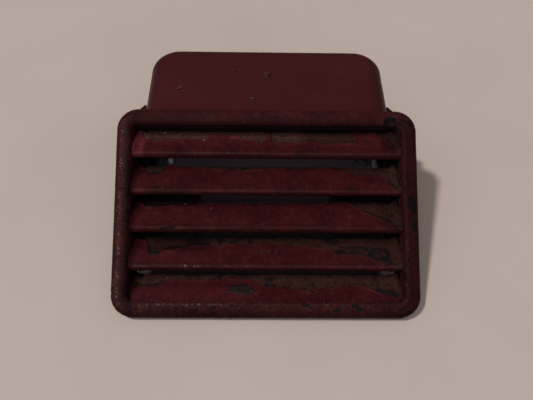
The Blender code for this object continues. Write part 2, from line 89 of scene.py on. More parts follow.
# ---------------------------------------------------------------- noise, seeded by its arguments
def lattice_hash(ix, iy, iz, seed):
    """A repeatable value from 0 to 1 for each whole-number cell."""
    value = (ix.astype(np.int64) * 374761393 + iy.astype(np.int64) * 668265263
             + iz.astype(np.int64) * 2147483647 + seed * 1274126177) & 0xFFFFFFFF
    value = ((value ^ (value >> 13)) * 1274126177) & 0xFFFFFFFF
    value = (value ^ (value >> 16)) & 0xFFFFFFFF
    value = (value * 2246822519) & 0xFFFFFFFF
    return ((value ^ (value >> 13)) & 0xFFFFFF) / float(0xFFFFFF)


def noise(points, size, seed):
    """Smooth value noise, -1 to 1, on (..., 2 or 3) points in mm; size is its feature size."""
    scaled = np.asarray(points, float) / size
    if scaled.shape[-1] == 2:
        layer = np.full(scaled.shape[:-1] + (1,), 0.37 + seed)
        scaled = np.concatenate([scaled, layer], -1)
    cell = np.floor(scaled).astype(np.int64)
    part = scaled - cell
    part = part * part * part * (part * (part * 6 - 15) + 10)
    total = 0.0
    for dx in (0, 1):
        for dy in (0, 1):
            for dz in (0, 1):
                weight = ((part[..., 0] if dx else 1 - part[..., 0])
                          * (part[..., 1] if dy else 1 - part[..., 1])
                          * (part[..., 2] if dz else 1 - part[..., 2]))
                corner = (cell[..., 0] + dx, cell[..., 1] + dy, cell[..., 2] + dz)
                total = total + weight * lattice_hash(*corner, seed)
    return total * 2 - 1


def fbm(points, size, octaves, seed):
    """Noise summed over octaves, each half the size and strength of the one before."""
    value, weight, total = 0.0, 1.0, 0.0
    for k in range(octaves):
        value = value + weight * noise(points, size / 2 ** k, seed + 17 * k)
        total += weight
        weight *= 0.5
    return value / total


def smooth(start, end, value):
    """Smoothstep from 0 at start to 1 at end; start may lie above end."""
    share = np.clip((value - start) / (end - start), 0, 1)
    return share * share * (3 - 2 * share)


def window(value, low, high, soft):
    return smooth(low - soft, low + soft, value) * smooth(high + soft, high - soft, value)


def pair(first, second):
    return np.stack([first, second], -1)


def spots(points, cell, seed, chance, r_min, r_max):
    """Round spots on a jittered 2D grid: 1 in the middle of each, 0 outside."""
    base = np.floor(points / cell).astype(np.int64)
    best = np.zeros(points.shape[:-1])
    zero = np.zeros_like(base[..., 0])
    for dx in (-1, 0, 1):
        for dy in (-1, 0, 1):
            ix, iy = base[..., 0] + dx, base[..., 1] + dy
            present, jitter_x, jitter_y, size = (lattice_hash(ix, iy, zero, seed + k)
                                                 for k in range(4))
            radius = r_min + (r_max - r_min) * size ** 2
            dist = np.hypot((ix + jitter_x) * cell - points[..., 0],
                            (iy + jitter_y) * cell - points[..., 1])
            best = np.maximum(best, np.where(present < chance, np.clip(1 - dist / radius, 0, 1), 0))
    return best


# ---------------------------------------------------------------- flat shapes
def inside(points, polygon):
    x, y = points[..., 0], points[..., 1]
    hit = np.zeros(x.shape, bool)
    for (x0, y0), (x1, y1) in zip(polygon, polygon[1:] + polygon[:1]):
        if y0 == y1:
            continue
        hit ^= ((y0 > y) != (y1 > y)) & (x < (x1 - x0) * (y - y0) / (y1 - y0) + x0)
    return hit


def line_dist(points, line):
    best = np.full(points.shape[:-1], 1e9)
    for start, end in zip(line, line[1:]):
        start = np.array(start, float)
        span = np.array(end, float) - start
        share = np.clip(((points - start) @ span) / max(span @ span, 1e-9), 0, 1)
        gap = np.linalg.norm(points - start - share[..., None] * span, axis=-1)
        best = np.minimum(best, gap)
    return best


def ellipse(points, cx, cy, rx, ry, turn=0.0):
    """About the distance outside an ellipse, negative inside; turn is in degrees."""
    cos, sin = math.cos(math.radians(turn)), math.sin(math.radians(turn))
    dx, dy = points[..., 0] - cx, points[..., 1] - cy
    reach = np.hypot((dx * cos + dy * sin) / rx, (-dx * sin + dy * cos) / ry)
    return (reach - 1) * min(rx, ry)


# ---------------------------------------------------------------- mesh building
def path_of(points, step):
    """Evenly spaced points along a polyline."""
    points = np.array(points, float)
    along = np.concatenate([[0], np.cumsum(np.linalg.norm(np.diff(points, axis=0), axis=1))])
    count = max(int(round(along[-1] / step)), 2)
    stops = np.linspace(0, along[-1], count + 1)
    return np.stack([np.interp(stops, along, points[:, k]) for k in (0, 1)], -1)


def soften(path, rounds):
    for _ in range(rounds):
        softer = path.copy()
        softer[1:-1] = 0.25 * path[:-2] + 0.5 * path[1:-1] + 0.25 * path[2:]
        path = softer
    return path


def grid_normals(grid, wrap=False):
    if wrap:
        along = np.roll(grid, -1, 0) - np.roll(grid, 1, 0)
    else:
        along = np.gradient(grid, axis=0)
    normals = np.cross(along, np.gradient(grid, axis=1))
    return normals / np.maximum(np.linalg.norm(normals, axis=-1, keepdims=True), 1e-12)


def quads(rows, columns, wrap=False, start=0, flip=False):
    """Faces of a grid of vertices that begins at index `start`; wrap joins the last row to row 0."""
    i, j = np.meshgrid(np.arange(rows if wrap else rows - 1), np.arange(columns - 1), indexing="ij")
    here, beyond = i * columns + j, (i + 1) % rows * columns + j
    faces = np.stack([here, beyond, beyond + 1, here + 1], -1).reshape(-1, 4) + start
    return (faces[:, ::-1] if flip else faces).tolist()


def with_liner(values, count, liner):
    """Per-point values of a skin, followed by those of its `count` hidden liner points."""
    return {key: np.concatenate([value.ravel(), np.full(count, liner.get(key, 0.0))])
            for key, value in values.items()}


def add_object(name, data):
    made = bpy.data.objects.new(name, data)
    bpy.context.scene.collection.objects.link(made)
    return made


def add_skin(name, verts, faces, values, material):
    mesh = bpy.data.meshes.new(name)
    mesh.from_pydata(verts.tolist(), [], faces)
    work = bmesh.new()
    work.from_mesh(mesh)
    bmesh.ops.recalc_face_normals(work, faces=work.faces)
    work.to_mesh(mesh)
    work.free()
    for key, value in values.items():
        attribute = mesh.attributes.new(key, "FLOAT", "POINT")
        attribute.data.foreach_set("value", np.asarray(value, np.float32))
    mesh.shade_smooth()
    mesh.set_sharp_from_angle(angle=math.radians(38))
    mesh.materials.append(material)
    skin = add_object(name, mesh)
    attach(skin, "root")


# ---------------------------------------------------------------- shader helper
class Shader:
    """A Principled material with short methods for its nodes.

    Any input is a socket to link or a value to set. `pos` is the object position in mm.
    """

    def __init__(self, name):
        self.material = bpy.data.materials.new(name)
        self.material.use_nodes = True
        self.tree = self.material.node_tree
        self.tree.nodes.clear()
        output = self.add("OutputMaterial")
        self.bsdf = self.add("BsdfPrincipled")
        self.tree.links.new(self.bsdf.outputs[0], output.inputs[0])
        coords = self.add("TexCoord")
        self.pos = self.gain(coords.outputs["Object"], 1000.0)

    def feed(self, socket, value):
        if isinstance(value, bpy.types.NodeSocket):
            self.tree.links.new(value, socket)
        elif socket.type == "RGBA":
            socket.default_value = (*value, 1.0)
        else:
            socket.default_value = value

    def add(self, kind, inputs=None, **settings):
        node = self.tree.nodes.new("ShaderNode" + kind)
        for key, value in settings.items():
            setattr(node, key, value)
        for key, value in (inputs or {}).items():
            self.feed(node.inputs[key], value)
        return node

    def attr(self, name):
        return self.add("Attribute", attribute_name=name).outputs["Fac"]

    def xyz(self):
        return self.add("SeparateXYZ", {0: self.pos}).outputs

    def noise(self, size, detail, rough, seed, stretch=None, distort=0.0):
        source = self.pos
        if stretch:
            stretched = self.add("VectorMath", {0: source, 1: stretch}, operation="MULTIPLY")
            source = stretched.outputs[0]
        inputs = {"W": seed, "Scale": 1.0 / size, "Detail": detail, "Roughness": rough,
                  "Distortion": distort, "Vector": source}
        return self.add("TexNoise", inputs, noise_dimensions="4D").outputs[0]

    def fields(self, **specs):
        """Named noises, each (size in mm, detail, roughness, seed[, stretch, distortion])."""
        return SimpleNamespace(**{name: self.noise(*spec) for name, spec in specs.items()})

    def cells(self, size, seed):
        inputs = {"W": seed, "Scale": 1.0 / size, "Vector": self.pos}
        node = self.add("TexVoronoi", inputs, voronoi_dimensions="4D", feature="F1")
        return node.outputs["Distance"]

    def math(self, operation, *operands, clamp=False):
        inputs = dict(enumerate(operands))
        return self.add("Math", inputs, operation=operation, use_clamp=clamp).outputs[0]

    def times(self, product, *factors, clamp=False):
        """Product from left to right; clamp applies to the last step only."""
        for place, factor in enumerate(factors, 1):
            last = place == len(factors)
            product = self.math("MULTIPLY", product, factor, clamp=clamp and last)
        return product

    def jitter(self, value, field, span):
        """Adds a noise field, centred on 0 and `span` wide, to a value."""
        return self.math("ADD", value, self.math("MULTIPLY_ADD", field, span, -span / 2))

    def step(self, value, low, high, to=(0.0, 1.0)):
        """Smoothstep: `to[0]` at low, `to[1]` at high."""
        inputs = {"From Min": low, "From Max": high, "To Min": to[0], "To Max": to[1],
                  "Value": value}
        return self.add("MapRange", inputs, interpolation_type="SMOOTHSTEP").outputs[0]

    def mix(self, factor, first, second):
        return self.add("Mix", {0: factor, 6: first, 7: second}, data_type="RGBA").outputs[2]

    def value_mix(self, factor, first, second):
        return self.add("Mix", {0: factor, 2: first, 3: second}, data_type="FLOAT").outputs[0]

    def gain(self, colour, factor):
        inputs = {0: colour, "Scale": factor}
        return self.add("VectorMath", inputs, operation="SCALE").outputs[0]

    def tint(self, base, colour, field, low, high, strength=1.0):
        """Lays a colour over the base as the field goes from low to high."""
        return self.mix(self.step(field, low, high, (0.0, strength)), base, colour)

    def swing(self, colour, field, low, high, dim, bright):
        """Multiplies a colour by `dim` where the field is at low and `bright` at high."""
        return self.gain(colour, self.step(field, low, high, (dim, bright)))

    def bump(self, height, depth, strength, under=None):
        """Bump `depth` mm deep, laid on the normal `under` if there is one."""
        inputs = {"Distance": depth * MM, "Strength": strength, "Height": height}
        if under is not None:
            inputs["Normal"] = under
        return self.add("Bump", inputs).outputs[0]

    def finish(self, colour, rough, normal, spec, metallic=0.0):
        for key, value in (("Base Color", colour), ("Roughness", rough), ("Normal", normal),
                           ("Metallic", metallic), ("Specular IOR Level", spec)):
            self.feed(self.bsdf.inputs[key], value)
        return self.material


# ---------------------------------------------------------------- materials
MAROON = (0.060, 0.0078, 0.0092)
MAROON_DEEP = (0.042, 0.0055, 0.0084)
MAROON_BROWN = (0.062, 0.0125, 0.0100)
MAROON_PURPLE = (0.046, 0.0068, 0.0118)
PATINA = (0.050, 0.0195, 0.0135)
PATINA_DARK = (0.016, 0.0095, 0.0080)
# near-black for soot and for painted shade in recesses and inside the vent
SOOT_AND_SHADE = (0.0042, 0.0042, 0.0060)


def maroon_coat(mat, grit, lift):
    """Clouded, grainy maroon. Returns its colour, its noises and its pebble distances."""
    tex = mat.fields(
        cloud=(13.0, 5, 0.6, 1.0), mottle=(2.6, 5, 0.62, 2.0), grain=(0.95, 4, 0.66, 5.0),
        micro=(0.42, 3, 0.6, 6.0), purple=(4.5, 4, 0.6, 7.0), coarse=(1.35, 4, 0.72, 14.0),
        streak=(1.6, 5, 0.65, 13.0, (1.0, 0.22, 0.22)), orange=(2.0, 4, 0.7, 15.0),
        plum=(2.6, 4, 0.7, 16.0), tops=(2.4, 3, 0.6, 12.0), pits=(1.25, 5, 0.72, 11.0))

    def grit_swing(colour, field, plain, gritty):
        """Brightness swing, each (low, high, (dim, bright)), from clean to gritty paint."""
        swing = mat.value_mix(grit, mat.step(field, *plain), mat.step(field, *gritty))
        return mat.gain(colour, swing)

    colour = mat.tint(MAROON_DEEP, MAROON, tex.cloud, 0.36, 0.64)
    colour = mat.tint(colour, MAROON_BROWN, tex.mottle, 0.46, 0.70, strength=0.55)
    colour = mat.tint(colour, MAROON_PURPLE, tex.purple, 0.54, 0.70, strength=0.5)
    colour = mat.swing(colour, tex.mottle, 0.30, 0.70, dim=0.92, bright=1.08)
    colour = grit_swing(colour, tex.grain, (0.28, 0.72, (0.84, 1.17)), (0.28, 0.72, (0.66, 1.36)))
    colour = grit_swing(colour, tex.micro, (0.25, 0.75, (0.90, 1.10)), (0.25, 0.75, (0.80, 1.20)))
    colour = mat.swing(colour, tex.streak, 0.3, 0.7, dim=0.88, bright=1.12)
    colour = grit_swing(colour, tex.coarse, (0.28, 0.72, (0.90, 1.10)), (0.37, 0.64, (0.50, 1.54)))
    # coloured grains, only where the coat is gritty
    for field, low, tone in ((tex.orange, 0.54, (0.086, 0.024, 0.015)),
                             (tex.plum, 0.55, (0.034, 0.0075, 0.0150))):
        amount = mat.times(grit, mat.step(field, low, 0.66, (0.0, 0.75)))
        colour = mat.mix(amount, colour, tone)
    # painted highlight: lifted film is paler along its crest
    colour = mat.mix(mat.times(lift, 0.42, clamp=True), colour, (0.105, 0.020, 0.018))
    # pebbles get a painted highlight on their tops and painted shade towards their edges, and there
    # are dark pits
    pebble = mat.cells(0.85, seed=4.0)
    tops = mat.times(mat.step(pebble, 0.30, 0.10), mat.step(tex.tops, 0.40, 0.62))
    relief = mat.step(pebble, 0.10, 0.58, (1.62, 0.38))
    colour = mat.gain(colour, mat.value_mix(grit, 1.0, relief))
    colour = mat.mix(mat.times(tops, grit, 0.42, clamp=True), colour, (0.155, 0.062, 0.046))
    pits = mat.step(tex.pits, mat.value_mix(grit, 0.70, 0.62), 0.74)
    colour = mat.mix(mat.times(pits, 0.8), colour, (0.012, 0.0062, 0.0064))
    return colour, tex, pebble


def brown_patina(mat, grit):
    """Brown and olive clouds with dark blotches. Returns the colour and its fine noise."""
    tex = mat.fields(
        cloud=(5.5, 6, 0.6, 21.0, None, 0.6), fine=(1.1, 5, 0.68, 22.0),
        olive=(3.0, 5, 0.62, 25.0), grain=(0.6, 4, 0.68, 27.0), blotch=(2.2, 6, 0.72, 23.0),
        red=(3.6, 5, 0.7, 28.0), pale=(1.7, 5, 0.7, 29.0), stain=(2.4, 5, 0.72, 30.0),
        fleck=(0.6, 4, 0.72, 24.0))
    colour = mat.tint((0.036, 0.0155, 0.0112), PATINA, tex.cloud, 0.34, 0.66)
    colour = mat.tint(colour, (0.060, 0.0165, 0.0125), tex.fine, 0.45, 0.72, strength=0.6)
    colour = mat.tint(colour, (0.0270, 0.0185, 0.0120), tex.olive, 0.53, 0.70, strength=0.75)
    colour = mat.swing(colour, tex.fine, 0.30, 0.70, dim=0.54, bright=1.48)
    colour = mat.swing(colour, tex.grain, 0.30, 0.70, dim=0.76, bright=1.24)
    colour = mat.tint(colour, PATINA_DARK, tex.blotch, 0.53, 0.61, strength=0.80)
    colour = mat.tint(colour, (0.068, 0.0130, 0.0125), tex.red, 0.57, 0.66, strength=0.7)
    colour = mat.tint(colour, (0.088, 0.044, 0.034), tex.pale, 0.56, 0.64, strength=0.6)
    # on bare metal `grit` is how far the patina is stained maroon
    red = mat.tint((0.034, 0.0105, 0.0095), (0.050, 0.0125, 0.0115), tex.cloud, 0.34, 0.66)
    red = mat.swing(red, tex.fine, 0.30, 0.70, dim=0.55, bright=1.5)
    colour = mat.mix(mat.times(grit, mat.step(tex.stain, 0.36, 0.56), clamp=True), colour, red)
    colour = mat.tint(colour, (0.120, 0.062, 0.042), tex.fleck, 0.63, 0.72, strength=0.5)
    return colour, tex.fine


def worn_paint_material():
    """Paint film over patina, driven by per-point values.

    film: mm inside the torn edge. dark: residue, sooty marks and painted shade. lift: raised film.
    grit: pebbled paint. fleck: pale pin heads and painted glints. tone: painted light and shade, 1
    in the open.
    """
    mat = Shader("worn_maroon_paint")
    film, dark, lift, grit, fleck, tone = (
        mat.attr(name) for name in ("film", "dark", "lift", "grit", "fleck", "tone"))
    edge = mat.jitter(film, mat.noise(0.75, 4, 0.62, seed=3.1), span=0.5)
    painted = mat.step(edge, -0.045, 0.045)
    coat, tex, pebble = maroon_coat(mat, grit, lift)
    patina, fine = brown_patina(mat, grit)
    base = mat.mix(painted, patina, coat)

    # the film's broken edge: a thin pale line on it, a painted highlight, and a dark line beside it,
    # residue with painted shadow
    along = mat.step(mat.noise(4.0, 4, 0.6, seed=33.0), 0.40, 0.60)
    rim = mat.times(mat.step(edge, -0.02, 0.12), mat.step(edge, 0.55, 0.2))
    base = mat.mix(mat.times(rim, along, 0.50), base, (0.125, 0.030, 0.025))
    beside = mat.times(mat.step(edge, -0.75, -0.10), mat.step(edge, 0.03, -0.05))
    base = mat.mix(mat.times(beside, mat.value_mix(along, 0.85, 0.35)), base, SOOT_AND_SHADE)
    # dark brings residue and also painted shade in recesses; both take this near-black
    residue = mat.jitter(dark, mat.noise(1.1, 6, 0.74, seed=31.0), span=1.9)
    residue = mat.step(residue, 0.22, 0.62)
    dirt_and_shade = mat.mix(mat.noise(1.3, 4, 0.6, seed=32.0), SOOT_AND_SHADE, (0.0115, 0.0100, 0.0098))
    base = mat.mix(mat.times(residue, 0.95), base, dirt_and_shade)
    # pale specks, with painted glints along the bends and beads
    base = mat.mix(mat.times(fleck, 0.9, clamp=True), base, (0.28, 0.155, 0.115))
    # tone: painted light and shade
    base = mat.gain(base, tone)

    rough_bare = mat.step(fine, 0.3, 0.7, (0.70, 0.90))
    rough_paint = mat.step(tex.mottle, 0.3, 0.7, (0.50, 0.66))
    rough = mat.value_mix(residue, mat.value_mix(painted, rough_bare, rough_paint), 0.8)
    skin = mat.math("ADD", mat.times(tex.grain, 0.75), mat.times(tex.micro, 0.25))
    normal = mat.bump(skin, depth=0.13, strength=0.9)
    pebbles = mat.times(mat.math("SUBTRACT", 1.0, pebble), grit)
    normal = mat.bump(pebbles, depth=0.24, strength=1.0, under=normal)
    corrosion = mat.noise(0.7, 5, 0.7, seed=42.0)
    corrosion = mat.times(corrosion, mat.math("SUBTRACT", 1.0, painted))
    normal = mat.bump(corrosion, depth=0.09, strength=1.0, under=normal)
    return mat.finish(base, rough, normal, spec=mat.times(tone, 0.11))


def hood_material():
    """Smooth semi-gloss maroon enamel with dust, faint streaks and rare pin chips.

    film: mm outside a chip. chip_shading: from a chip's painted lit side (-) to its painted shaded
    side (+).
    """
    mat = Shader("hood_maroon_enamel")
    film, chip_shading = mat.attr("film"), mat.attr("chip_shading")
    tex = mat.fields(
        cloud=(22.0, 4, 0.5, 1.5), streak=(5.0, 5, 0.6, 2.5, (1.0, 0.12, 0.5)),
        micro=(0.4, 4, 0.65, 3.5), mottle=(1.4, 4, 0.6, 4.1), dust=(0.9, 6, 0.8, 4.5),
        ragged=(0.45, 4, 0.6, 5.5), chip=(0.8, 4, 0.6, 6.5),
        scratch=(0.9, 2, 0.4, 7.5, (0.09, 1.0, 1.0), 0.3), scratched=(16.0, 3, 0.5, 8.5),
        gloss=(2.2, 5, 0.6, 9.5), ripple=(1.6, 3, 0.5, 10.5))
    colour = mat.tint((0.057, 0.0078, 0.0108), (0.063, 0.0095, 0.0105), tex.cloud, 0.35, 0.65)
    colour = mat.tint(colour, (0.066, 0.0120, 0.0125), tex.streak, 0.45, 0.75, strength=0.3)
    colour = mat.swing(colour, tex.micro, 0.25, 0.75, dim=0.90, bright=1.10)
    colour = mat.swing(colour, tex.mottle, 0.3, 0.7, dim=0.93, bright=1.07)
    dust = mat.step(tex.dust, 0.66, 0.78)
    colour = mat.mix(mat.times(dust, 0.10), colour, (0.16, 0.085, 0.07))
    # tone: painted light and shade across the hood
    colour = mat.gain(colour, mat.attr("tone"))
    # chips, each with a painted shaded side and a painted lit side
    bare = mat.step(mat.jitter(film, tex.ragged, span=0.3), 0.04, -0.04)
    chip = mat.tint((0.090, 0.027, 0.026), (0.017, 0.0075, 0.0080),
                    mat.jitter(chip_shading, tex.chip, span=1.2), -0.15, 0.30)
    colour = mat.mix(bare, colour, chip)
    shaded = mat.times(mat.step(film, 0.75, 0.1), mat.step(chip_shading, 0.1, 0.6))
    colour = mat.gain(colour, mat.value_mix(shaded, 1.0, 0.55))
    lit = mat.times(mat.step(film, 0.70, 0.15), mat.step(chip_shading, 0.0, -0.5), 0.35, clamp=True)
    colour = mat.mix(lit, colour, (0.105, 0.030, 0.030))
    # thin scratches along X where the noise crosses its middle
    line = mat.times(mat.step(tex.scratch, 0.485, 0.495), mat.step(tex.scratch, 0.512, 0.502),
                     mat.step(tex.scratched, 0.56, 0.66))
    colour = mat.mix(mat.times(line, 0.35), colour, (0.105, 0.040, 0.036))
    rough = mat.step(tex.gloss, 0.3, 0.7, (0.37, 0.47))
    normal = mat.bump(tex.ripple, depth=0.035, strength=0.8)
    normal = mat.bump(tex.micro, depth=0.012, strength=0.8, under=normal)
    return mat.finish(colour, rough, normal, spec=0.17)


def under_material(name, gain):
    """The inside of the painted pieces: thin overspray over brown patina, dusty."""
    mat = Shader(name)
    tex = mat.fields(cloud=(6.0, 5, 0.6, 51.0), grime=(0.8, 5, 0.7, 52.0),
                     dust=(0.5, 5, 0.75, 53.0))
    colour = mat.tint((0.030, 0.0150, 0.0120), (0.042, 0.0085, 0.0095), tex.cloud, 0.40, 0.62)
    colour = mat.tint(colour, (0.014, 0.011, 0.010), tex.grime, 0.55, 0.75, strength=0.6)
    colour = mat.tint(colour, (0.11, 0.055, 0.04), tex.dust, 0.60, 0.75, strength=0.25)
    colour = mat.gain(colour, gain)
    rough = mat.step(tex.grime, 0.3, 0.7, (0.52, 0.78))
    return mat.finish(colour, rough, mat.bump(tex.grime, depth=0.06, strength=0.9), spec=0.12)


def plate_material():
    """Zinc-grey sheet: rolled grain along X, spangle and stains; painted shade in front, painted
    light behind.
    """
    mat = Shader("zinc_grey_sheet")
    tex = mat.fields(grain=(0.5, 6, 0.7, 61.0, (0.06, 1.0, 1.0)), spangle=(7.0, 4, 0.55, 62.0),
                     stain=(9.0, 6, 0.65, 63.0))
    x, y, z = mat.xyz()
    grained = {"field": tex.grain, "low": 0.3, "high": 0.7, "dim": 0.86, "bright": 1.12}
    colour = mat.tint((0.080, 0.076, 0.086), (0.120, 0.113, 0.124), tex.spangle, 0.35, 0.65)
    colour = mat.swing(colour, **grained)
    stain = mat.step(tex.stain, 0.60, 0.72, (0.0, 0.55))
    colour = mat.mix(stain, colour, (0.058, 0.034, 0.024))
    # the rear takes a pale lavender, painted light; the front takes the grey at 0.22, painted shade
    plain = mat.tint((0.235, 0.205, 0.25), (0.315, 0.275, 0.335), tex.spangle, 0.35, 0.65)
    plain = mat.swing(plain, **grained)
    colour = mat.mix(mat.step(y, 10.0, 19.0), mat.gain(colour, 0.22), plain)
    # painted highlight on the +X flank towards the rear, painted shade on the -X flank
    flank = mat.times(mat.step(x, 62.0, 62.5), mat.step(y, 12.0, 16.0), mat.step(z, 2.0, 4.0))
    colour = mat.mix(flank, colour, (0.84, 0.78, 0.88))
    shade = mat.times(mat.step(mat.times(x, -1.0), 62.0, 62.5), mat.step(z, 1.5, 3.0))
    colour = mat.mix(mat.times(shade, 0.80), colour, SOOT_AND_SHADE)
    rough = mat.value_mix(stain, mat.step(tex.grain, 0.3, 0.7, (0.34, 0.50)), 0.75)
    normal = mat.bump(tex.grain, depth=0.02, strength=0.8)
    return mat.finish(colour, rough, normal, spec=0.2, metallic=0.1)


def rubber_material():
    mat = Shader("aged_black_rubber")
    tex = mat.fields(grain=(0.7, 5, 0.7, 71.0), cloud=(6.0, 4, 0.5, 72.0))
    colour = mat.tint((0.030, 0.0085, 0.0085), (0.050, 0.0115, 0.0105), tex.cloud, 0.35, 0.65)
    colour = mat.tint(colour, (0.070, 0.024, 0.016), tex.grain, 0.58, 0.76, strength=0.5)
    rough = mat.step(tex.grain, 0.3, 0.7, (0.70, 0.90))
    return mat.finish(colour, rough, mat.bump(tex.grain, depth=0.05, strength=1.0), spec=0.15)


def steel_material(name, light, seed, rough, near_black_within=None):
    """Clouded metal with rust spots, near black within a distance of the middle if one is given."""
    mat = Shader(name)
    tex = mat.fields(grain=(0.35, 5, 0.65, seed), cloud=(1.8, 5, 0.6, seed + 1),
                     rust=(1.1, 5, 0.7, seed + 2))
    colour = mat.tint(tuple(0.72 * part for part in light), light, tex.cloud, 0.35, 0.65)
    rust = mat.step(tex.rust, 0.60, 0.72, (0.0, 0.7))
    colour = mat.mix(rust, colour, (0.085, 0.042, 0.024))
    roughness = mat.value_mix(rust, mat.step(tex.grain, 0.3, 0.7, rough), 0.72)
    metal = mat.math("SUBTRACT", 1.0, rust)
    if near_black_within:
        x, y, _ = mat.xyz()
        near_black = mat.times(mat.step(mat.math("ABSOLUTE", x), near_black_within, near_black_within - 1.0),
                         mat.step(y, 66.0, 64.0))
        colour = mat.mix(near_black, colour, SOOT_AND_SHADE)
        metal = mat.times(metal, mat.math("SUBTRACT", 1.0, near_black))
        roughness = mat.value_mix(near_black, roughness, 0.85)
    normal = mat.bump(tex.grain, depth=0.018, strength=0.9)
    return mat.finish(colour, roughness, normal, spec=0.5, metallic=metal)


def zinc_material():
    """Clouded zinc, with one painted highlight band across x at the left."""
    mat = Shader("zinc_with_painted_highlight")
    tex = mat.fields(grain=(0.5, 5, 0.65, 101.0), cloud=(1.6, 4, 0.6, 102.0))
    colour = mat.tint((0.100, 0.085, 0.108), (0.130, 0.110, 0.140), tex.cloud, 0.35, 0.65)
    colour = mat.tint(colour, (0.10, 0.07, 0.06), tex.grain, 0.62, 0.75, strength=0.5)
    x = mat.xyz()[0]
    band = mat.times(mat.step(x, -56.9, -56.6), mat.step(x, -54.3, -54.6))
    bright = mat.tint((0.74, 0.70, 0.78), (0.90, 0.87, 0.93), tex.cloud, 0.35, 0.65)
    colour = mat.mix(band, colour, bright)
    rough = mat.step(tex.grain, 0.3, 0.7, (0.40, 0.6))
    return mat.finish(colour, rough, mat.bump(tex.grain, depth=0.02, strength=0.9), spec=0.25)


WORN = worn_paint_material()
HOOD = hood_material()
UNDER = under_material("inner_overspray", gain=1.0)
# gain 0.34 darkens the hood's inside: painted shade
HOOD_INSIDE = under_material("hood_inside_painted_shade", gain=0.34)
PLATE = plate_material()
RUBBER = rubber_material()
STEEL = steel_material("plated_screw_steel", (0.52, 0.50, 0.48), seed=81.0, rough=(0.26, 0.42))
ZINC = zinc_material()
ALLOY = steel_material("rivet_alloy", (0.56, 0.55, 0.54), seed=91.0, rough=(0.34, 0.5),
                       near_black_within=65.0)

# ---------------------------------------------------------------- the CAD pieces
# name pattern, material, slot, bevel width (mm); the first match counts
CAD_LOOKS = (
    ("louver*", UNDER, "worn_paint", 0.0),
    ("face_frame", UNDER, "worn_paint", 0.0),
    ("hood_shell", HOOD_INSIDE, "hood_paint", 0.0),
    ("base_plate", PLATE, "plate_steel", 0.0),
    ("gasket*", RUBBER, "gasket_rubber", 0.0),
    ("captive_nut*", ZINC, "fastener_steel", 0.12),
    ("base_rivet*", ALLOY, "rivet_alloy", 0.12),
    ("*", STEEL, "fastener_steel", 0.12),
)


def dress(piece, material, slot, bevel_width):
    piece.data.materials.clear()
    piece.data.materials.append(material)
    for polygon in piece.data.polygons:
        polygon.material_index = 0
    weld = piece.modifiers.new("weld", "WELD")
    weld.merge_threshold = 0.00001
    if bevel_width:
        bevel = piece.modifiers.new("softened_edges", "BEVEL")
        bevel.width = bevel_width * MM
        bevel.segments = 2
        bevel.limit_method = "ANGLE"
        bevel.angle_limit = math.radians(40)
        bevel.harden_normals = False
        bevel.use_clamp_overlap = True


for node_name, node_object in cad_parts.items():
    look = next(row[1:] for row in CAD_LOOKS if fnmatchcase(node_name, row[0]))
    dress(node_object, *look)


# ---------------------------------------------------------------- torn film
def film_height(film, points, seed, curl, thick):
    """Height of the coat over the metal, and how far its edge curls up."""
    body = thick * smooth(-0.10, 0.22, film)
    lift = (np.clip(noise(points, 7.0, seed) * 0.9 + 0.35, 0, 1)
            * np.exp(-(np.maximum(film, 0) / 0.9) ** 2) * smooth(-0.05, 0.2, film))
    skin = 0.05 * fbm(points, 5.5, 3, seed + 3) + 0.022 * fbm(points, 1.6, 2, seed + 5)
    metal = 0.035 * fbm(points, 2.2, 3, seed + 7)
    return body + 0.48 * curl * lift + np.where(film > 0, skin, metal), lift


def edge_soot_and_shadow(film):
    """Peaks on the bare metal just outside the torn edge: sooty marks and painted shadow."""
    return np.exp(-((film + 0.35) / 0.3) ** 2)


def cheek_lean(out):
    """How far the side walls lean inwards at a height out of the face."""
    return np.clip((-BEAD_H - 1.0 - out) / (DEPTH - BEAD_H - 1.0), 0, 1) * CHEEK_IN


# ---------------------------------------------------------------- slat tables
# Slats are numbered from the lowest. Their tables use (x, down): mm across, and down the slope
# from the bend; `down` is negative on the lip.

# section of the lip, (up, out) from the slat's origin
LIP = [(0.95, -3.42), (0.5, -3.45), (0.06, -3.12), (-0.05, -2.5), (-0.05, -1.95), (0.10, -1.47),
       (0.48, -1.18), (1.1, -0.96), (1.8, -0.76), (2.3, -0.70)]

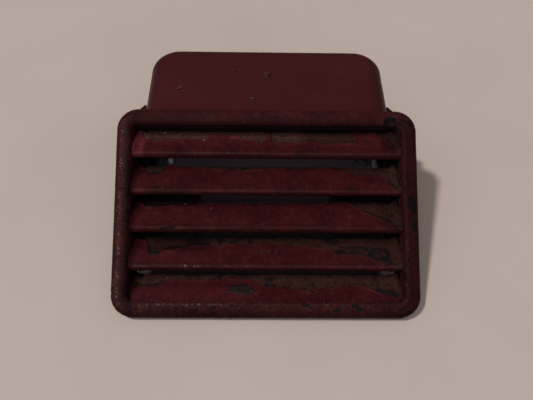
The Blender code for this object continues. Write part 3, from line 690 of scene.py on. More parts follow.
# torn edge of the coat on each slat; bare metal lies beyond it
EDGES = {
    5: [(-70.0, 23.0), (-66.2, 18.5), (-64.5, 13.5), (-63.0, 11.0), (-59.3, 8.8), (-56.0, 8.9),
        (-52.8, 9.9), (-49.3, 10.6), (-45.0, 11.0), (-41.0, 11.0), (-37.3, 10.1), (-33.0, 9.7),
        (-31.2, 11.1), (-29.8, 14.0), (-28.4, 15.8), (-25.5, 15.4), (-22.6, 16.0), (-19.4, 15.6),
        (-17.2, 14.2), (-14.0, 12.4), (-10.9, 11.0), (-7.7, 9.8), (-4.5, 9.5), (-1.5, 9.7),
        (-0.4, 11.6), (-0.1, 22.0), (1.9, 22.0), (2.5, 10.7), (5.7, 8.9), (8.9, 9.4), (12.0, 8.9),
        (15.0, 8.1), (18.2, 8.6), (20.3, 10.1), (23.4, 9.6), (27.0, 9.7), (29.5, 7.9), (31.5, 7.0),
        (34.2, 8.4), (41.0, 8.1), (44.3, 8.3), (45.7, 14.3), (47.0, 22.0), (55.5, 22.0),
        (59.9, 15.4), (62.4, 11.7), (64.4, 7.9), (65.6, 3.4), (66.3, -1.0), (66.6, -3.0),
        (72.0, -4.0)],
    4: [(-70.0, 23.0), (-66.0, 22.0), (-63.6, 14.8), (-61.5, 13.1), (-59.3, 12.2), (-57.2, 12.3),
        (-55.4, 14.0), (-54.2, 16.2), (-52.5, 18.6), (-45.6, 18.8), (-41.3, 18.2), (-37.6, 17.6),
        (-34.9, 16.9), (-28.7, 17.0), (-22.3, 16.2), (-19.2, 15.8), (-16.0, 15.4), (-12.5, 15.6),
        (-9.8, 16.1), (-5.6, 15.7), (0.7, 17.0), (9.2, 17.5), (11.8, 17.1), (13.8, 16.2),
        (17.5, 15.8), (20.2, 16.5), (22.4, 17.8), (25.5, 19.3), (33.5, 18.2), (36.5, 16.9),
        (40.6, 15.7), (43.1, 14.4), (46.0, 12.9), (49.6, 12.3), (53.7, 11.9), (57.7, 11.1),
        (60.3, 10.6), (61.4, 8.2), (62.9, 5.3), (64.4, 2.4), (66.0, -0.2), (67.3, -2.4),
        (72.0, -4.0)],
    3: [(-70.0, 26.0), (-66.0, 26.0), (-64.9, 19.0), (-63.3, 15.5), (-61.9, 13.6), (-60.0, 13.9),
        (-55.0, 15.0), (-50.5, 15.6), (-45.9, 16.1), (-41.7, 15.5), (-38.6, 15.8), (-36.7, 17.2),
        (-26.3, 17.2), (-18.0, 16.8), (-11.7, 16.8), (-8.6, 16.1), (-6.5, 15.5), (-2.3, 15.5),
        (2.9, 16.4), (7.1, 17.2), (17.6, 17.7), (28.0, 17.3), (34.0, 18.8), (41.9, 19.4),
        (43.9, 18.4), (45.7, 16.6), (48.5, 13.8), (50.2, 11.5), (53.0, 9.6), (58.5, 5.8),
        (61.1, 3.5), (63.8, 1.8), (66.6, 0.6), (68.2, -0.7), (72.0, -2.0)],
    2: [(-70.0, 26.0), (-66.0, 26.0), (-63.6, 18.6), (-61.1, 15.1), (-59.7, 12.2), (-58.5, 9.7),
        (-58.7, 7.9), (-58.3, 6.9), (-56.8, 6.5), (-54.8, 6.6), (-53.7, 8.0), (-53.2, 9.8),
        (-51.8, 10.1), (-48.6, 9.1), (-44.8, 10.9), (-39.9, 12.4), (-35.9, 12.5), (-33.9, 13.1),
        (-26.8, 13.4), (-24.7, 12.8), (-21.2, 14.0), (-12.5, 14.4), (-9.4, 13.7), (-3.2, 14.6),
        (5.0, 13.9), (17.2, 13.2), (24.3, 12.3), (28.3, 10.9), (33.2, 9.0), (36.2, 8.1),
        (42.2, 7.8), (45.2, 7.3), (48.1, 6.3), (50.9, 4.9), (53.6, 2.8), (55.4, 1.9), (58.3, 1.1),
        (59.5, -0.2), (60.8, -1.2), (62.3, -2.5), (66.0, -3.2), (72.0, -4.5)],
    1: [(-70.0, 26.0), (-67.6, 18.0), (-66.6, 15.6), (-65.8, 13.1), (-64.5, 11.5), (-61.9, 11.2),
        (-59.4, 10.8), (-56.4, 11.0), (-54.0, 11.9), (-52.1, 12.9), (-50.3, 14.1), (-48.8, 14.6),
        (-39.8, 15.3), (-31.1, 14.7), (-22.5, 15.7), (-18.5, 16.8), (-14.4, 16.8), (-10.3, 16.1),
        (-7.2, 14.8), (-4.6, 12.8), (-2.1, 11.3), (0.9, 10.8), (4.4, 11.2), (7.5, 10.5),
        (9.4, 9.6), (14.9, 8.9), (17.9, 8.3), (20.9, 8.1), (23.5, 8.8), (26.0, 9.6), (34.2, 10.2),
        (37.3, 11.0), (39.4, 12.0), (42.0, 12.4), (45.6, 12.1), (48.5, 11.3), (51.4, 10.4),
        (54.2, 8.8), (56.4, 7.2), (58.7, 5.6), (61.5, 4.6), (64.4, 4.3), (65.9, 3.2), (69.0, 2.0),
        (72.0, 2.0)],
}

# dark spots of residue: x, down, radius across, radius down, turn (degrees), strength
DARK_SPOTS = {
    5: [(46.4, 9.2, 1.3, 0.9, 10, 1.0), (54.7, 6.0, 1.6, 1.1, 0, 0.45),
        (-60.0, 10.3, 2.5, 1.0, 0, 0.5), (8.5, 15.0, 2.4, 2.0, 0, 0.45)],
    4: [(-57.6, 12.9, 3.2, 1.1, 5, 1.0), (-53.3, 15.6, 1.6, 1.3, 0, 0.7),
        (37.0, 17.2, 2.0, 0.9, 0, 1.0)],
    3: [(29.2, 1.8, 2.8, 0.75, 0, 0.7)],
    2: [(-56.2, 8.1, 3.3, 1.7, 4, 1.0), (3.2, 9.5, 0.9, 1.0, 0, 0.95),
        (6.9, 9.5, 1.9, 0.62, -8, 0.95), (37.4, 9.6, 2.7, 1.4, 0, 1.0),
        (43.6, 9.0, 2.6, 1.2, 0, 0.9), (59.6, 4.6, 2.5, 2.0, 0, 1.0),
        (62.2, 1.6, 1.3, 1.5, 20, 0.8), (52.5, 17.0, 3.0, 1.1, 0, 0.5),
        (18.5, 15.6, 2.0, 0.9, 0, 0.6), (27.0, 12.4, 2.4, 1.0, 0, 0.6)],
    1: [(-65.4, 11.4, 1.1, 2.2, 0, 1.0), (-64.0, 5.2, 0.8, 0.6, 0, 1.0),
        (18.3, 9.6, 2.6, 0.8, 0, 0.7), (10.5, 10.4, 1.9, 0.9, 0, 0.7),
        (57.0, 8.6, 2.9, 1.4, -20, 0.95), (61.8, 7.4, 4.2, 2.3, -6, 0.62),
        (64.4, 5.6, 2.0, 1.2, 0, 0.8), (54.0, 13.8, 3.0, 1.6, 0, 0.3)],
}
# dark rings and blistered areas, columns as for the spots
DARK_RINGS = {2: [(47.5, 10.4, 4.2, 2.6, 10, 0.85), (57.3, 8.0, 5.6, 4.4, 0, 0.95)]}
BLISTERS = {1: [(-12.4, 8.4, 7.4, 4.0, 3, 1.0)]}
# dark lines: width, strength, points
DARK_LINES = {
    5: [(0.42, 0.9, [(2.1, 22.0), (2.1, 12.0), (2.9, 7.5), (3.8, 2.5)]),
        (0.7, 1.0, [(-66.3, 18.5), (-65.1, 15.0), (-63.6, 11.8)]),
        (0.6, 0.7, [(-50.0, 11.2), (-45.0, 11.5), (-40.0, 11.3)]),
        (0.5, 0.5, [(-39.0, 11.0), (-34.0, 10.6)]), (0.8, 0.5, [(3.0, 13.5), (9.0, 12.0)]),
        (0.9, 0.5, [(19.0, 11.5), (24.0, 11.0)]), (0.7, 0.6, [(29.0, 9.0), (33.5, 8.0)]),
        (0.5, 0.6, [(35.0, 9.0), (44.0, 9.0)])],
    4: [(0.55, 0.9, [(-20.0, 16.6), (-15.5, 16.0), (-10.0, 16.5), (-5.5, 16.3)]),
        (0.6, 0.8, [(11.5, 17.4), (16.0, 16.4), (20.5, 17.0)]),
        (0.62, 1.0, [(62.6, 7.6), (64.2, 4.5), (65.6, 1.6)]),
        (0.5, 1.0, [(66.6, 10.6), (66.9, 6.5), (67.1, 1.6)]),
        (0.5, 0.6, [(45.5, 14.3), (50.0, 13.4), (58.0, 12.5)]),
        (0.4, 0.7, [(-34.0, 17.6), (-28.0, 17.7)])],
    3: [(0.85, 1.0, [(49.2, 12.3), (52.0, 11.4), (55.7, 9.6), (58.8, 7.3), (62.1, 4.4)]),
        (0.42, 0.95, [(-52.7, -0.9), (-49.0, -0.7), (-45.4, -0.1)]),
        (0.7, 0.55, [(-63.0, 16.2), (-55.0, 16.2), (-46.0, 17.0)]),
        (0.4, 0.8, [(-6.5, 16.0), (2.5, 16.6)]), (0.4, 0.6, [(20.0, 17.6), (28.0, 17.8)])],
    2: [(0.7, 1.0, [(-59.4, 13.4), (-58.9, 10.2)]),
        (1.1, 0.75, [(-51.0, 11.3), (-45.0, 12.2), (-37.0, 13.8), (-30.0, 14.4)]),
        (0.35, 0.55, [(-5.8, 10.5), (-3.2, 10.0)]), (0.42, 0.95, [(-5.3, 8.7), (0.8, 9.1)]),
        (0.7, 0.65, [(38.0, 12.4), (42.0, 12.0), (46.0, 13.2), (50.0, 12.8)]),
        (0.9, 0.8, [(50.5, 12.0), (52.4, 9.0), (51.6, 6.4)])],
    1: [(0.5, 0.9, [(-63.0, 12.0), (-59.0, 11.5), (-56.0, 11.7), (-52.5, 13.4), (-50.0, 15.0)]),
        (0.5, 0.9, [(22.2, 7.4), (25.5, 6.0)]), (0.6, 0.6, [(-1.0, 11.9), (5.0, 12.1)]),
        (0.4, 0.5, [(24.0, 9.6), (31.0, 10.5)])],
}
# chips through the coat: x, down, radius across, radius down
CHIPS = {
    5: [(46.4, 9.2, 0.7, 0.5)],
    4: [],
    3: [(-49.0, -0.6, 3.6, 0.16)],
    2: [(-2.2, 8.9, 3.0, 0.2), (3.2, 9.5, 0.5, 0.6), (6.9, 9.5, 1.4, 0.28)],
    1: [(23.8, 6.7, 1.7, 0.22), (-64.0, 5.2, 0.5, 0.35)],
}
# pale pin-head flecks: x, down, radius
FLECKS = {
    5: [(-53.8, 17.5, 0.85), (-32.7, 10.6, 0.9)],
    4: [(-8.6, 5.0, 0.5), (42.0, 5.0, 0.55), (14.0, 8.0, 0.5)],
    3: [(-42.4, 17.3, 0.95), (42.0, 7.9, 0.7), (-28.5, 13.5, 0.75), (-26.0, 6.5, 0.5)],
    2: [(-40.0, -0.4, 0.8)],
    1: [(-50.6, 16.6, 0.75)],
}
# painted light and shade, areas made brighter or darker: x from, x to, down from, down to, softness
# in x, in down, gain
TONES = {
    5: [(-90, 90, 12.5, 40, 1, 2.0, 2.15), (-90, 90, 5.5, 12.5, 1, 2.2, 1.36),
        (-90, -62.5, -3, 22, 1.5, 1.0, 1.75), (59, 90, 2, 30, 2.5, 2, 0.46),
        (18, 47, 8, 30, 4, 2, 0.60), (-90, -62.5, -3, 14, 1.5, 1.0, 1.30)],
    4: [(-90, -61.5, -3, 24, 2.0, 1.0, 1.20), (-54, 54, 13, 30, 4, 3, 1.10)],
    3: [(-90, -61.5, -3, 24, 2.5, 1.0, 1.20), (-60, -20, 1, 15, 9, 4, 1.14),
        (58, 90, 0, 30, 3, 2, 0.80), (-64, -36, 15.2, 30, 3, 0.8, 0.40)],
    2: [(-90, -60.5, -3, 24, 2.5, 1.0, 1.30), (-60, -30, 0, 9, 7, 2, 1.28),
        (-60, -30, 9, 30, 5, 1.5, 0.72), (54, 90, 0, 30, 3, 2, 0.84),
        (-62, -30, 9, 30, 5, 1.5, 0.85)],
    1: [(-64, -4, -1, 9, 8, 3, 1.50), (-90, 90, 14, 40, 1, 2.5, 1.36),
        (25, 66, 1, 9, 6, 3, 1.08), (-90, -62, 0, 24, 2.5, 2, 1.2)],
}
# bends: where the lip begins (down), gain of the painted highlight line, strength of its painted
# glints
BENDS = {5: (-0.75, 0.06, 0.35), 4: (-1.10, 0.12, 0.14), 3: (-0.95, -0.28, 0.10),
         2: (-0.95, 0.16, 0.62)}
# how far the patina is stained maroon: at the left, at the right
STAIN = {5: (0.0, 0.35), 4: (0.25, 0.75), 3: (0.25, 0.70), 2: (0.45, 0.70), 1: (0.15, 0.40)}


# ---------------------------------------------------------------- slat coats
def slat_section(index):
    """A slat's section as (up, out) from its origin, and its distances down from the bend."""
    if index == LOWEST:
        # a Bezier curve brings the slope straight out of the bottom bead's inner side
        start = np.array((BEAD_CREST + 0.35 - SLAT_UP, -0.02))
        end = BEND + RUN * 8.6 + RISE * 0.08
        start_pull, end_pull = start + np.array((1.05, -0.22)), end - RUN * 3.6
        share = np.linspace(0, 1, 26)[:, None]
        rest = 1 - share
        curve = (rest ** 3 * start + 3 * rest ** 2 * share * start_pull
                 + 3 * rest * share * share * end_pull + share ** 3 * end)
        line = [*curve, *(BEND + RUN * at + RISE * 0.08 for at in (12.0, SLOPE_END))]
        section = soften(path_of(line, SLAT_STEP), 2)
        return section, (section - BEND) @ RUN
    line = [*LIP, *(BEND + RUN * at + RISE * 0.10 for at in (0.55, 1.2, 3.0, SLOPE_END))]
    section = soften(path_of(line, SLAT_STEP), 2)
    down = (section - BEND) @ RUN
    # in front of the bend, distance is measured round the lip
    bend = int(np.argmin(np.linalg.norm(section - (BEND + RISE * 0.08), axis=1)))
    along = np.concatenate([[0], np.cumsum(np.linalg.norm(np.diff(section, axis=0), axis=1))])
    return section, np.where(np.arange(len(section)) < bend, along - along[bend], down)


def slat_surface(index, section, section_down, section_normals):
    """The surface under a slat's coat, and each point's distance from the side wall."""
    lowest = index == LOWEST
    half = FACE_W / 2 - BEAD_W - cheek_lean(section[:, 1]) + 0.12
    if lowest:
        # the spread front stops short of the frame's round corners
        half = half - 1.6 * smooth(8.0, 0.5, section_down)
    count = int(round(2 * half.max() / SLAT_STEP)) + 1
    x = np.linspace(-1, 1, count)[:, None] * half
    # raised webs at the ends: from a corner line that leans in towards the rear, up to the cheek
    corner = np.clip(66.3 - 0.235 * np.maximum(section_down, 0), 60, 70)
    corner = corner + 0.5 * smooth(0, -3, section_down) + (1.4 if lowest else 0.0)
    radius = 0.42
    web = np.log1p(np.exp(np.clip((np.abs(x) - corner) / radius, -30, 30))) * radius
    slope = 0.62 + 0.40 * smooth(14, 3, section_down)
    onset = smooth(-2.0, 7.0, section_down) if lowest else smooth(-2.2, 1.2, section_down)
    rise = web * slope * onset
    up = SLAT_UP + (index - 1) * PITCH + section[:, 0] + rise * section_normals[:, 0]
    out = section[:, 1] + rise * section_normals[:, 1]
    return np.stack([x, up, out], -1), half - np.abs(x)


def slat_film(index, flat):
    """Distance in mm inside the torn edge and outside the chips."""
    seed = 100 * index
    x, down = flat[..., 0], flat[..., 1]
    warped = pair(
        x + 0.55 * noise(flat, 2.3, seed + 1) + 0.26 * noise(flat, 0.95, seed + 2),
        down + 0.55 * noise(flat, 2.4, seed + 3) + 0.28 * noise(flat, 0.9, seed + 4))
    edge = EDGES[index]
    painted = edge + [(74.0, -12.0), (-74.0, -12.0)]
    gap = line_dist(warped, edge)
    film = np.minimum(9.0, np.where(inside(warped, painted), gap, -gap))
    for chip in CHIPS[index]:
        film = np.minimum(film, ellipse(flat, *chip))
    pins = spots(flat, 3.1, seed + 20, 0.16, 0.15, 0.55) * smooth(-3, 4, film)
    return np.clip(np.where(pins > 0.35, -0.12, film), -6, 6)


def slat_marks(index, flat):
    """Dark residue and blistering from the tables."""
    seed = 100 * index + 40
    dark = np.zeros(flat.shape[:-1])
    blister = np.zeros(flat.shape[:-1])
    warped = pair(flat[..., 0] + 0.45 * noise(flat, 1.3, seed),
                  flat[..., 1] + 0.45 * noise(flat, 1.3, seed + 9))
    for *shape, strength in DARK_SPOTS[index]:
        dark = np.maximum(dark, strength * smooth(0.8, -1.0, ellipse(warped, *shape)))
    for *shape, strength in DARK_RINGS.get(index, ()):
        gap = ellipse(warped, *shape) + 0.7 * noise(warped, 2.1, seed + 4)
        ring = smooth(1.7, 0.2, np.abs(gap + 0.9)) * (0.72 + 0.40 * noise(warped, 1.5, seed + 14))
        middle = smooth(0.3, -0.5, gap) * (0.75 + 0.8 * noise(warped, 1.7, seed + 5))
        dark = np.maximum(dark, strength * ring)
        dark = np.maximum(dark, 0.50 * strength * middle)
    for *shape, strength in BLISTERS.get(index, ()):
        gap = (ellipse(warped, *shape) + 0.9 * noise(warped, 2.0, seed + 6)
               + 0.5 * noise(warped, 0.9, seed + 7))
        dark = np.maximum(dark, 0.58 * strength * smooth(0.5, -0.5, gap))
        blister = np.maximum(blister, smooth(0.1, -0.9, gap))
    for width, strength, line in DARK_LINES[index]:
        fade = smooth(width * 1.25, width * 0.45, line_dist(warped, line))
        dark = np.maximum(dark, strength * fade)
    return dark, blister


def slat_flecks(index, flat, blister):
    seed = 100 * index
    x, down = flat[..., 0], flat[..., 1]
    crumbs = spots(flat + 0.3, 1.2, seed + 75, 0.7, 0.45, 0.75)
    fleck = 0.10 * blister * smooth(0.15, 0.6, crumbs)
    if index != LOWEST:
        # painted glints along the bend, stronger at the left
        bend_low, _, glint_gain = BENDS[index]
        glint = (spots(flat, 1.05, seed + 76, 0.55, 0.35, 0.75)
                 * smooth(0.60, 0.20, np.abs(down - bend_low - 0.30))
                 * smooth(-0.35, 0.35, noise(flat, 5.0, seed + 77)))
        left = smooth(-61, -50, x) * smooth(12, -18, x)
        fleck = np.maximum(fleck, glint_gain * glint * left)
        fleck = np.maximum(fleck, 0.35 * glint_gain * glint)
    for cx, cy, radius in FLECKS[index]:
        strength = min(1.0, max(0.25, 3.0 * (radius - 0.6)))
        spot = smooth(radius, radius * 0.25, np.hypot(x - cx, down - cy))
        fleck = np.maximum(fleck, strength * spot)
    return fleck


def slat_tone(index, flat, wall_gap, past_web):
    x, down = flat[..., 0], flat[..., 1]
    tone = np.ones(x.shape)
    if index != LOWEST:
        # painted shade on the lip below the bend, darkest at its foot and just down the slope from
        # the bend, and a painted highlight line on the bend itself
        bend_low, highlight_gain, _ = BENDS[index]
        tone = tone * (1 - 0.58 * smooth(bend_low + 0.4, bend_low - 0.5, down))
        tone = tone * (1 - 0.35 * smooth(-3.0, -4.4, down))
        tone = tone * (1 - 0.20 * smooth(1.1, 0.2, np.abs(down - 0.25)))
        tone = tone * (1 + highlight_gain * smooth(0.7, 0.1, np.abs(down - bend_low - 0.15)))
    tone = tone * (1 + 0.12 * fbm(flat, 12.0, 3, 100 * index + 90))
    # painted light and shade from the TONES table
    for x0, x1, down0, down1, soft_x, soft_down, gain in TONES[index]:
        area = window(x, x0, x1, soft_x) * window(down, down0, down1, soft_down)
        tone = tone * (1 + (gain - 1) * area)
    # shade beside the side walls and behind the webs
    left_shade = 0.15 if index == 5 else 0.50
    tone = tone * (1 - left_shade * smooth(2.4, 0.2, wall_gap) * (x < 0))
    tone = tone * (1 - 0.30 * smooth(1.6, 0.2, wall_gap) * (x > 0))
    return tone * (1 - 0.93 * smooth(-0.8, 0.8, past_web) * smooth(61.5, 63.5, np.abs(x)))


def slat_grit(index, flat, film):
    """Grit along the bend and in patches; on bare metal, the patina's maroon stain."""
    seed = 100 * index
    x, down = flat[..., 0], flat[..., 1]
    if index == LOWEST:
        grit = 0.9 * smooth(3.5, -1.5, down)
    else:
        grit = (0.55 * smooth(2.2, 0.2, np.abs(down + 0.2))
                * smooth(-0.2, 0.6, noise(flat, 9.0, seed + 80)))
    grit = np.clip(grit + 0.35 * smooth(0.2, 0.8, noise(flat, 6.0, seed + 81)), 0, 1)
    left, right = STAIN[index]
    return np.where(film < -0.1, left + (right - left) * smooth(-50, 55, x), grit)


def make_slat(index):
    """The coat on one slat: lip, bend, slope and the raised webs at its ends, as a closed skin."""
    lowest = index == LOWEST
    seed = 100 * index
    section, section_down = slat_section(index)
    tangents = np.gradient(section, axis=0)
    tangents /= np.linalg.norm(tangents, axis=1, keepdims=True)
    section_normals = np.stack([-tangents[:, 1], tangents[:, 0]], -1)
    surface, wall_gap = slat_surface(index, section, section_down, section_normals)
    x = surface[..., 0]
    rows, columns = x.shape
    normals = grid_normals(surface)
    if normals[rows // 2, -3] @ np.array((0, *RISE)) < 0:
        normals = -normals
    down = np.broadcast_to(section_down, x.shape)
    flat = pair(x, down)

    film = slat_film(index, flat)
    dark, blister = slat_marks(index, flat)
    # sooty marks and painted shadow beside the torn edge in places, and clouds of dark marks on the
    # bare metal
    beside = smooth(0.05, 0.5, noise(flat, 4.5, seed + 50))
    dark = np.maximum(dark, 0.75 * edge_soot_and_shadow(film) * beside)
    clouds = fbm(flat, 4.0, 3, seed + 55) + 0.25 * smooth(12, 18, down) * (index != 5)
    dark = np.maximum(dark, 0.55 * smooth(-0.2, -0.8, film) * smooth(0.15, 0.55, clouds))

    height, lift = film_height(film, surface, seed + 60, curl=1.0, thick=0.34)
    pebble = spots(flat, 0.9, seed + 70, 0.8, 0.3, 0.62)
    height = height + 0.05 + blister * (0.28 + 0.30 * pebble) - 0.10 * dark * (1 - blister)
    film = np.where(blister > 0.2, np.minimum(film, -0.6 + 1.1 * (pebble > 0.55)), film)
    fleck = slat_flecks(index, flat, blister)
    grit = slat_grit(index, flat, film)
    height = height + 0.22 * fleck + 0.07 * grit * (pebble - 0.4)
    height = height * (0.35 + 0.65 * smooth(0, 1.0, wall_gap))
    if lowest:
        height = height * smooth(-2.6, -0.6, down) + 0.02

    # how far a point lies behind the rear end of the web
    past_web = down - np.where(x < 0, 16.3, 17.9) - (0.6 if lowest else 0.0)
    tone = slat_tone(index, flat, wall_gap, past_web)
    # painted shade behind the rear ends of the webs
    dark = np.maximum(dark, 0.9 * smooth(0, 1.0, past_web) * smooth(62.0, 64.0, np.abs(x)))

    # closed underneath by a straight liner inside the slat's own sheet
    liner = section - section_normals * (0.5 if lowest else 0.45)
    liner_up = SLAT_UP + (index - 1) * PITCH + liner[:, 0]
    left, right = (np.stack([side, liner_up, liner[:, 1]], -1) for side in (x[0], x[-1]))
    top = surface + normals * height[..., None]
    verts = np.concatenate([top.reshape(-1, 3), left, right])
    first_left = rows * columns
    first_right = first_left + columns
    last_row = first_left - columns
    faces = quads(rows, columns)
    for j in range(columns - 1):
        a, b = first_left + j, first_right + j
        faces.append((a, b, b + 1, a + 1))
        faces.append((j, j + 1, a + 1, a))
        faces.append((last_row + j + 1, last_row + j, b, b + 1))
    faces.append((*range(0, first_left, columns), first_right, first_left))
    rear = range(columns - 1, first_left, columns)
    faces.append((*reversed(rear), first_left + columns - 1, first_right + columns - 1))
    values = {"film": film, "dark": dark, "lift": lift, "grit": grit, "fleck": fleck, "tone": tone}
    values = with_liner(values, 2 * columns, {"film": 3.0, "tone": 0.5})
    add_skin("paint_louver_%d" % index, to_row(verts), faces, values, WORN)


# ---------------------------------------------------------------- face frame coat
# the outline's corners in order: side in x, whether at the top, start angle (degrees)
CORNERS = ((1, True, 0), (-1, True, 90), (-1, False, 180), (1, False, 270))
CORNER_STEPS = 34

# ellipses in (x, up): x, up, radius in x, radius in up, turn (degrees)
# bare patches at the top right corner, each with its raggedness
BARE_CORNER = (((64.5, 95.2, 6.5, 2.6, -8), 0.6), ((63.0, 98.9, 2.9, 1.5, 0), 0.7),
               ((70.6, 98.6, 3.6, 0.8, -28), 0.7))
# residue at the top right corner, each with its strength
DARK_CORNER = (((63.0, 98.9, 2.9, 1.5, 0), 0.8), ((70.6, 98.6, 3.6, 0.8, -28), 0.7),
               ((72.6, 97.0, 1.5, 1.6, 0), 0.8), ((61.0, 98.2, 1.4, 2.0, 0), 0.8))
# dark patches on the right bead
DARK_RIGHT = ((72.3, 57.0, 2.1, 2.9, 14), (73.6, 54.0, 1.6, 2.3, 0), (73.4, 45.0, 1.2, 2.2, 0),
              (72.8, 48.2, 0.8, 1.1, 0))
# chips along the bottom bead
FRAME_CHIPS = (
    (-62.6, 3.3, 1.5, 0.6, 8), (-54.8, 4.3, 0.6, 0.45, 0), (-43.9, 4.0, 0.9, 0.5, 0),
    (-33.7, 3.4, 2.2, 0.35, 4), (-26.0, 4.2, 0.9, 0.5, 0), (-15.3, 5.6, 2.3, 0.40, 10),
    (19.2, 5.6, 2.0, 0.75, -14), (22.5, 4.4, 0.9, 0.7, 0), (34.6, 3.8, 2.4, 0.9, 22),
    (43.8, 5.9, 1.5, 1.7, -20), (45.6, 4.0, 2.6, 1.3, -28), (7.6, 4.6, 0.7, 0.5, 0),
    (2.0, 4.5, 0.6, 0.5, 0), (-52.7, 5.3, 0.6, 0.4, 0), (-5.0, 3.6, 0.5, 0.4, 0),
)
# single flecks: x, up, radius, strength
FRAME_FLECKS = ((68.0, 84.7, 0.9, 0.8), (-28.6, 98.3, 0.6, 0.22), (2.9, 100.7, 0.55, 0.22),
                (-11.3, 97.5, 0.5, 0.22), (16.7, 99.8, 0.5, 0.22), (-4.7, 100.1, 0.5, 0.22))
# painted light and shade: brightness of each side against the distance in from the outline, then
# down the inner wall
TONE_AT = [0, 0.8, 1.9, 3.0, 4.1, 5.3, 6.3, 7.5, 8.3, 10.0, 12.0, 14.0, 21.3]
SIDE_TONES = {
    "left": [0.90, 0.96, 1.24, 1.46, 1.08, 0.72, 0.50, 0.58, 0.66, 0.62, 0.50, 0.30, 0.25],
    "right": [0.46, 0.46, 0.50, 0.55, 0.56, 0.56, 0.60, 0.54, 0.66, 0.85, 0.80, 0.35, 0.25],
    "top": [0.84, 0.98, 0.95, 0.88, 0.77, 0.66, 0.58, 0.60, 0.75, 0.95, 1.00, 1.00, 1.0],
    "bottom": [0.46, 0.50, 0.62, 0.80, 0.86, 0.89, 0.94, 1.00, 1.00, 1.00, 1.00, 1.00, 1.0],
}


def perimeter(step):
    """Places round the outline: corner, angle there, and share of the straight run after it."""
    places = []
    for corner, (_, _, start) in enumerate(CORNERS):
        places += [(corner, start + 90.0 * k / CORNER_STEPS, 0.0) for k in range(CORNER_STEPS + 1)]
        length = (FACE_H if corner % 2 else FACE_W) - 2 * FACE_R
        count = int(round(length / step))
        places += [(corner, start + 90.0, k / count) for k in range(1, count)]
    return places


def outline(places, inset):
    """x and up of the rounded outline, by place and by inset."""
    radius = np.maximum(FACE_R - inset, 1.2)

    def arc_point(corner, degrees):
        side, at_top, _ = CORNERS[corner]
        angle = math.radians(degrees)
        centre_x = side * (FACE_W / 2 - inset - radius)
        centre_up = FACE_H - inset - radius if at_top else inset + radius
        return centre_x + radius * math.cos(angle), centre_up + radius * math.sin(angle)

    x = np.zeros((len(places), len(inset)))
    up = np.zeros_like(x)
    for k, (corner, degrees, share) in enumerate(places):
        following = (corner + 1) % 4
        x0, up0 = arc_point(corner, degrees)
        x1, up1 = arc_point(following, CORNERS[following][2])
        x[k], up[k] = x0 + (x1 - x0) * share, up0 + (up1 - up0) * share
    return x, up


def bead(turn, sunk):
    """(inset, out) on the bead: turn 0 at the outline, 1 on the crest, 2 at the inner wall."""
    if turn <= 1:
        angle = math.pi / 2 * turn
        return (BEAD_CREST - (BEAD_CREST - sunk) * math.cos(angle),
                -BEAD_H + (BEAD_H - sunk) * math.sin(angle))
    angle = math.pi / 2 * (turn - 1)
    return (BEAD_CREST + (BEAD_W - sunk - BEAD_CREST) * math.sin(angle),
            -BEAD_H + (BEAD_H - sunk) * math.cos(angle))


def frame_sections():
    """Outer skin and liner as rows of (inset, out, share down the inner wall or -1 off it)."""
    outer = [(0.0, out, -1) for out in np.linspace(-6.2, -3.7, 6)]
    crest = path_of([bead(turn, 0.0) for turn in np.linspace(0, 2, 200)], 0.36)
    outer += [(inset, out, -1) for inset, out in crest]
    outer += [(BEAD_W, 0.0, share) for share in np.linspace(0, 1, 22)[1:]]
    liner = [(0.5, -6.2, -1), (0.5, -3.8, -1)]
    liner += [(*bead(turn, 0.5), -1) for turn in np.linspace(0, 2, 12)]
    liner += [(BEAD_W - 0.5, 0.0, share) for share in (0.1, 0.4, 0.7, 1.0)]
    return np.array(outer, float), np.array(liner, float)


def frame_surface(places, section):
    inset, level, share = section.T
    x, up = outline(places, inset)
    # the wall runs down to the rear edge or to the base plane
    end = np.maximum(-15.9, -(LIFT - 0.10 + up * SIN) / COS)
    out = np.where(share >= 0, -BEAD_H + (end + BEAD_H) * share, level)
    rim = (share < 0) & (inset < 1) & (level < -BEAD_H)
    # the bottom rim leans forward
    up = up - 0.34 * np.maximum(-BEAD_H - out, 0) * np.clip(1 - up / 3.0, 0, 1) * rim
    side = np.clip((np.abs(x) - 60) / 6, 0, 1)
    x = x - np.sign(x) * cheek_lean(out) * side * (share >= 0)
    return np.stack([x, up, out], -1)


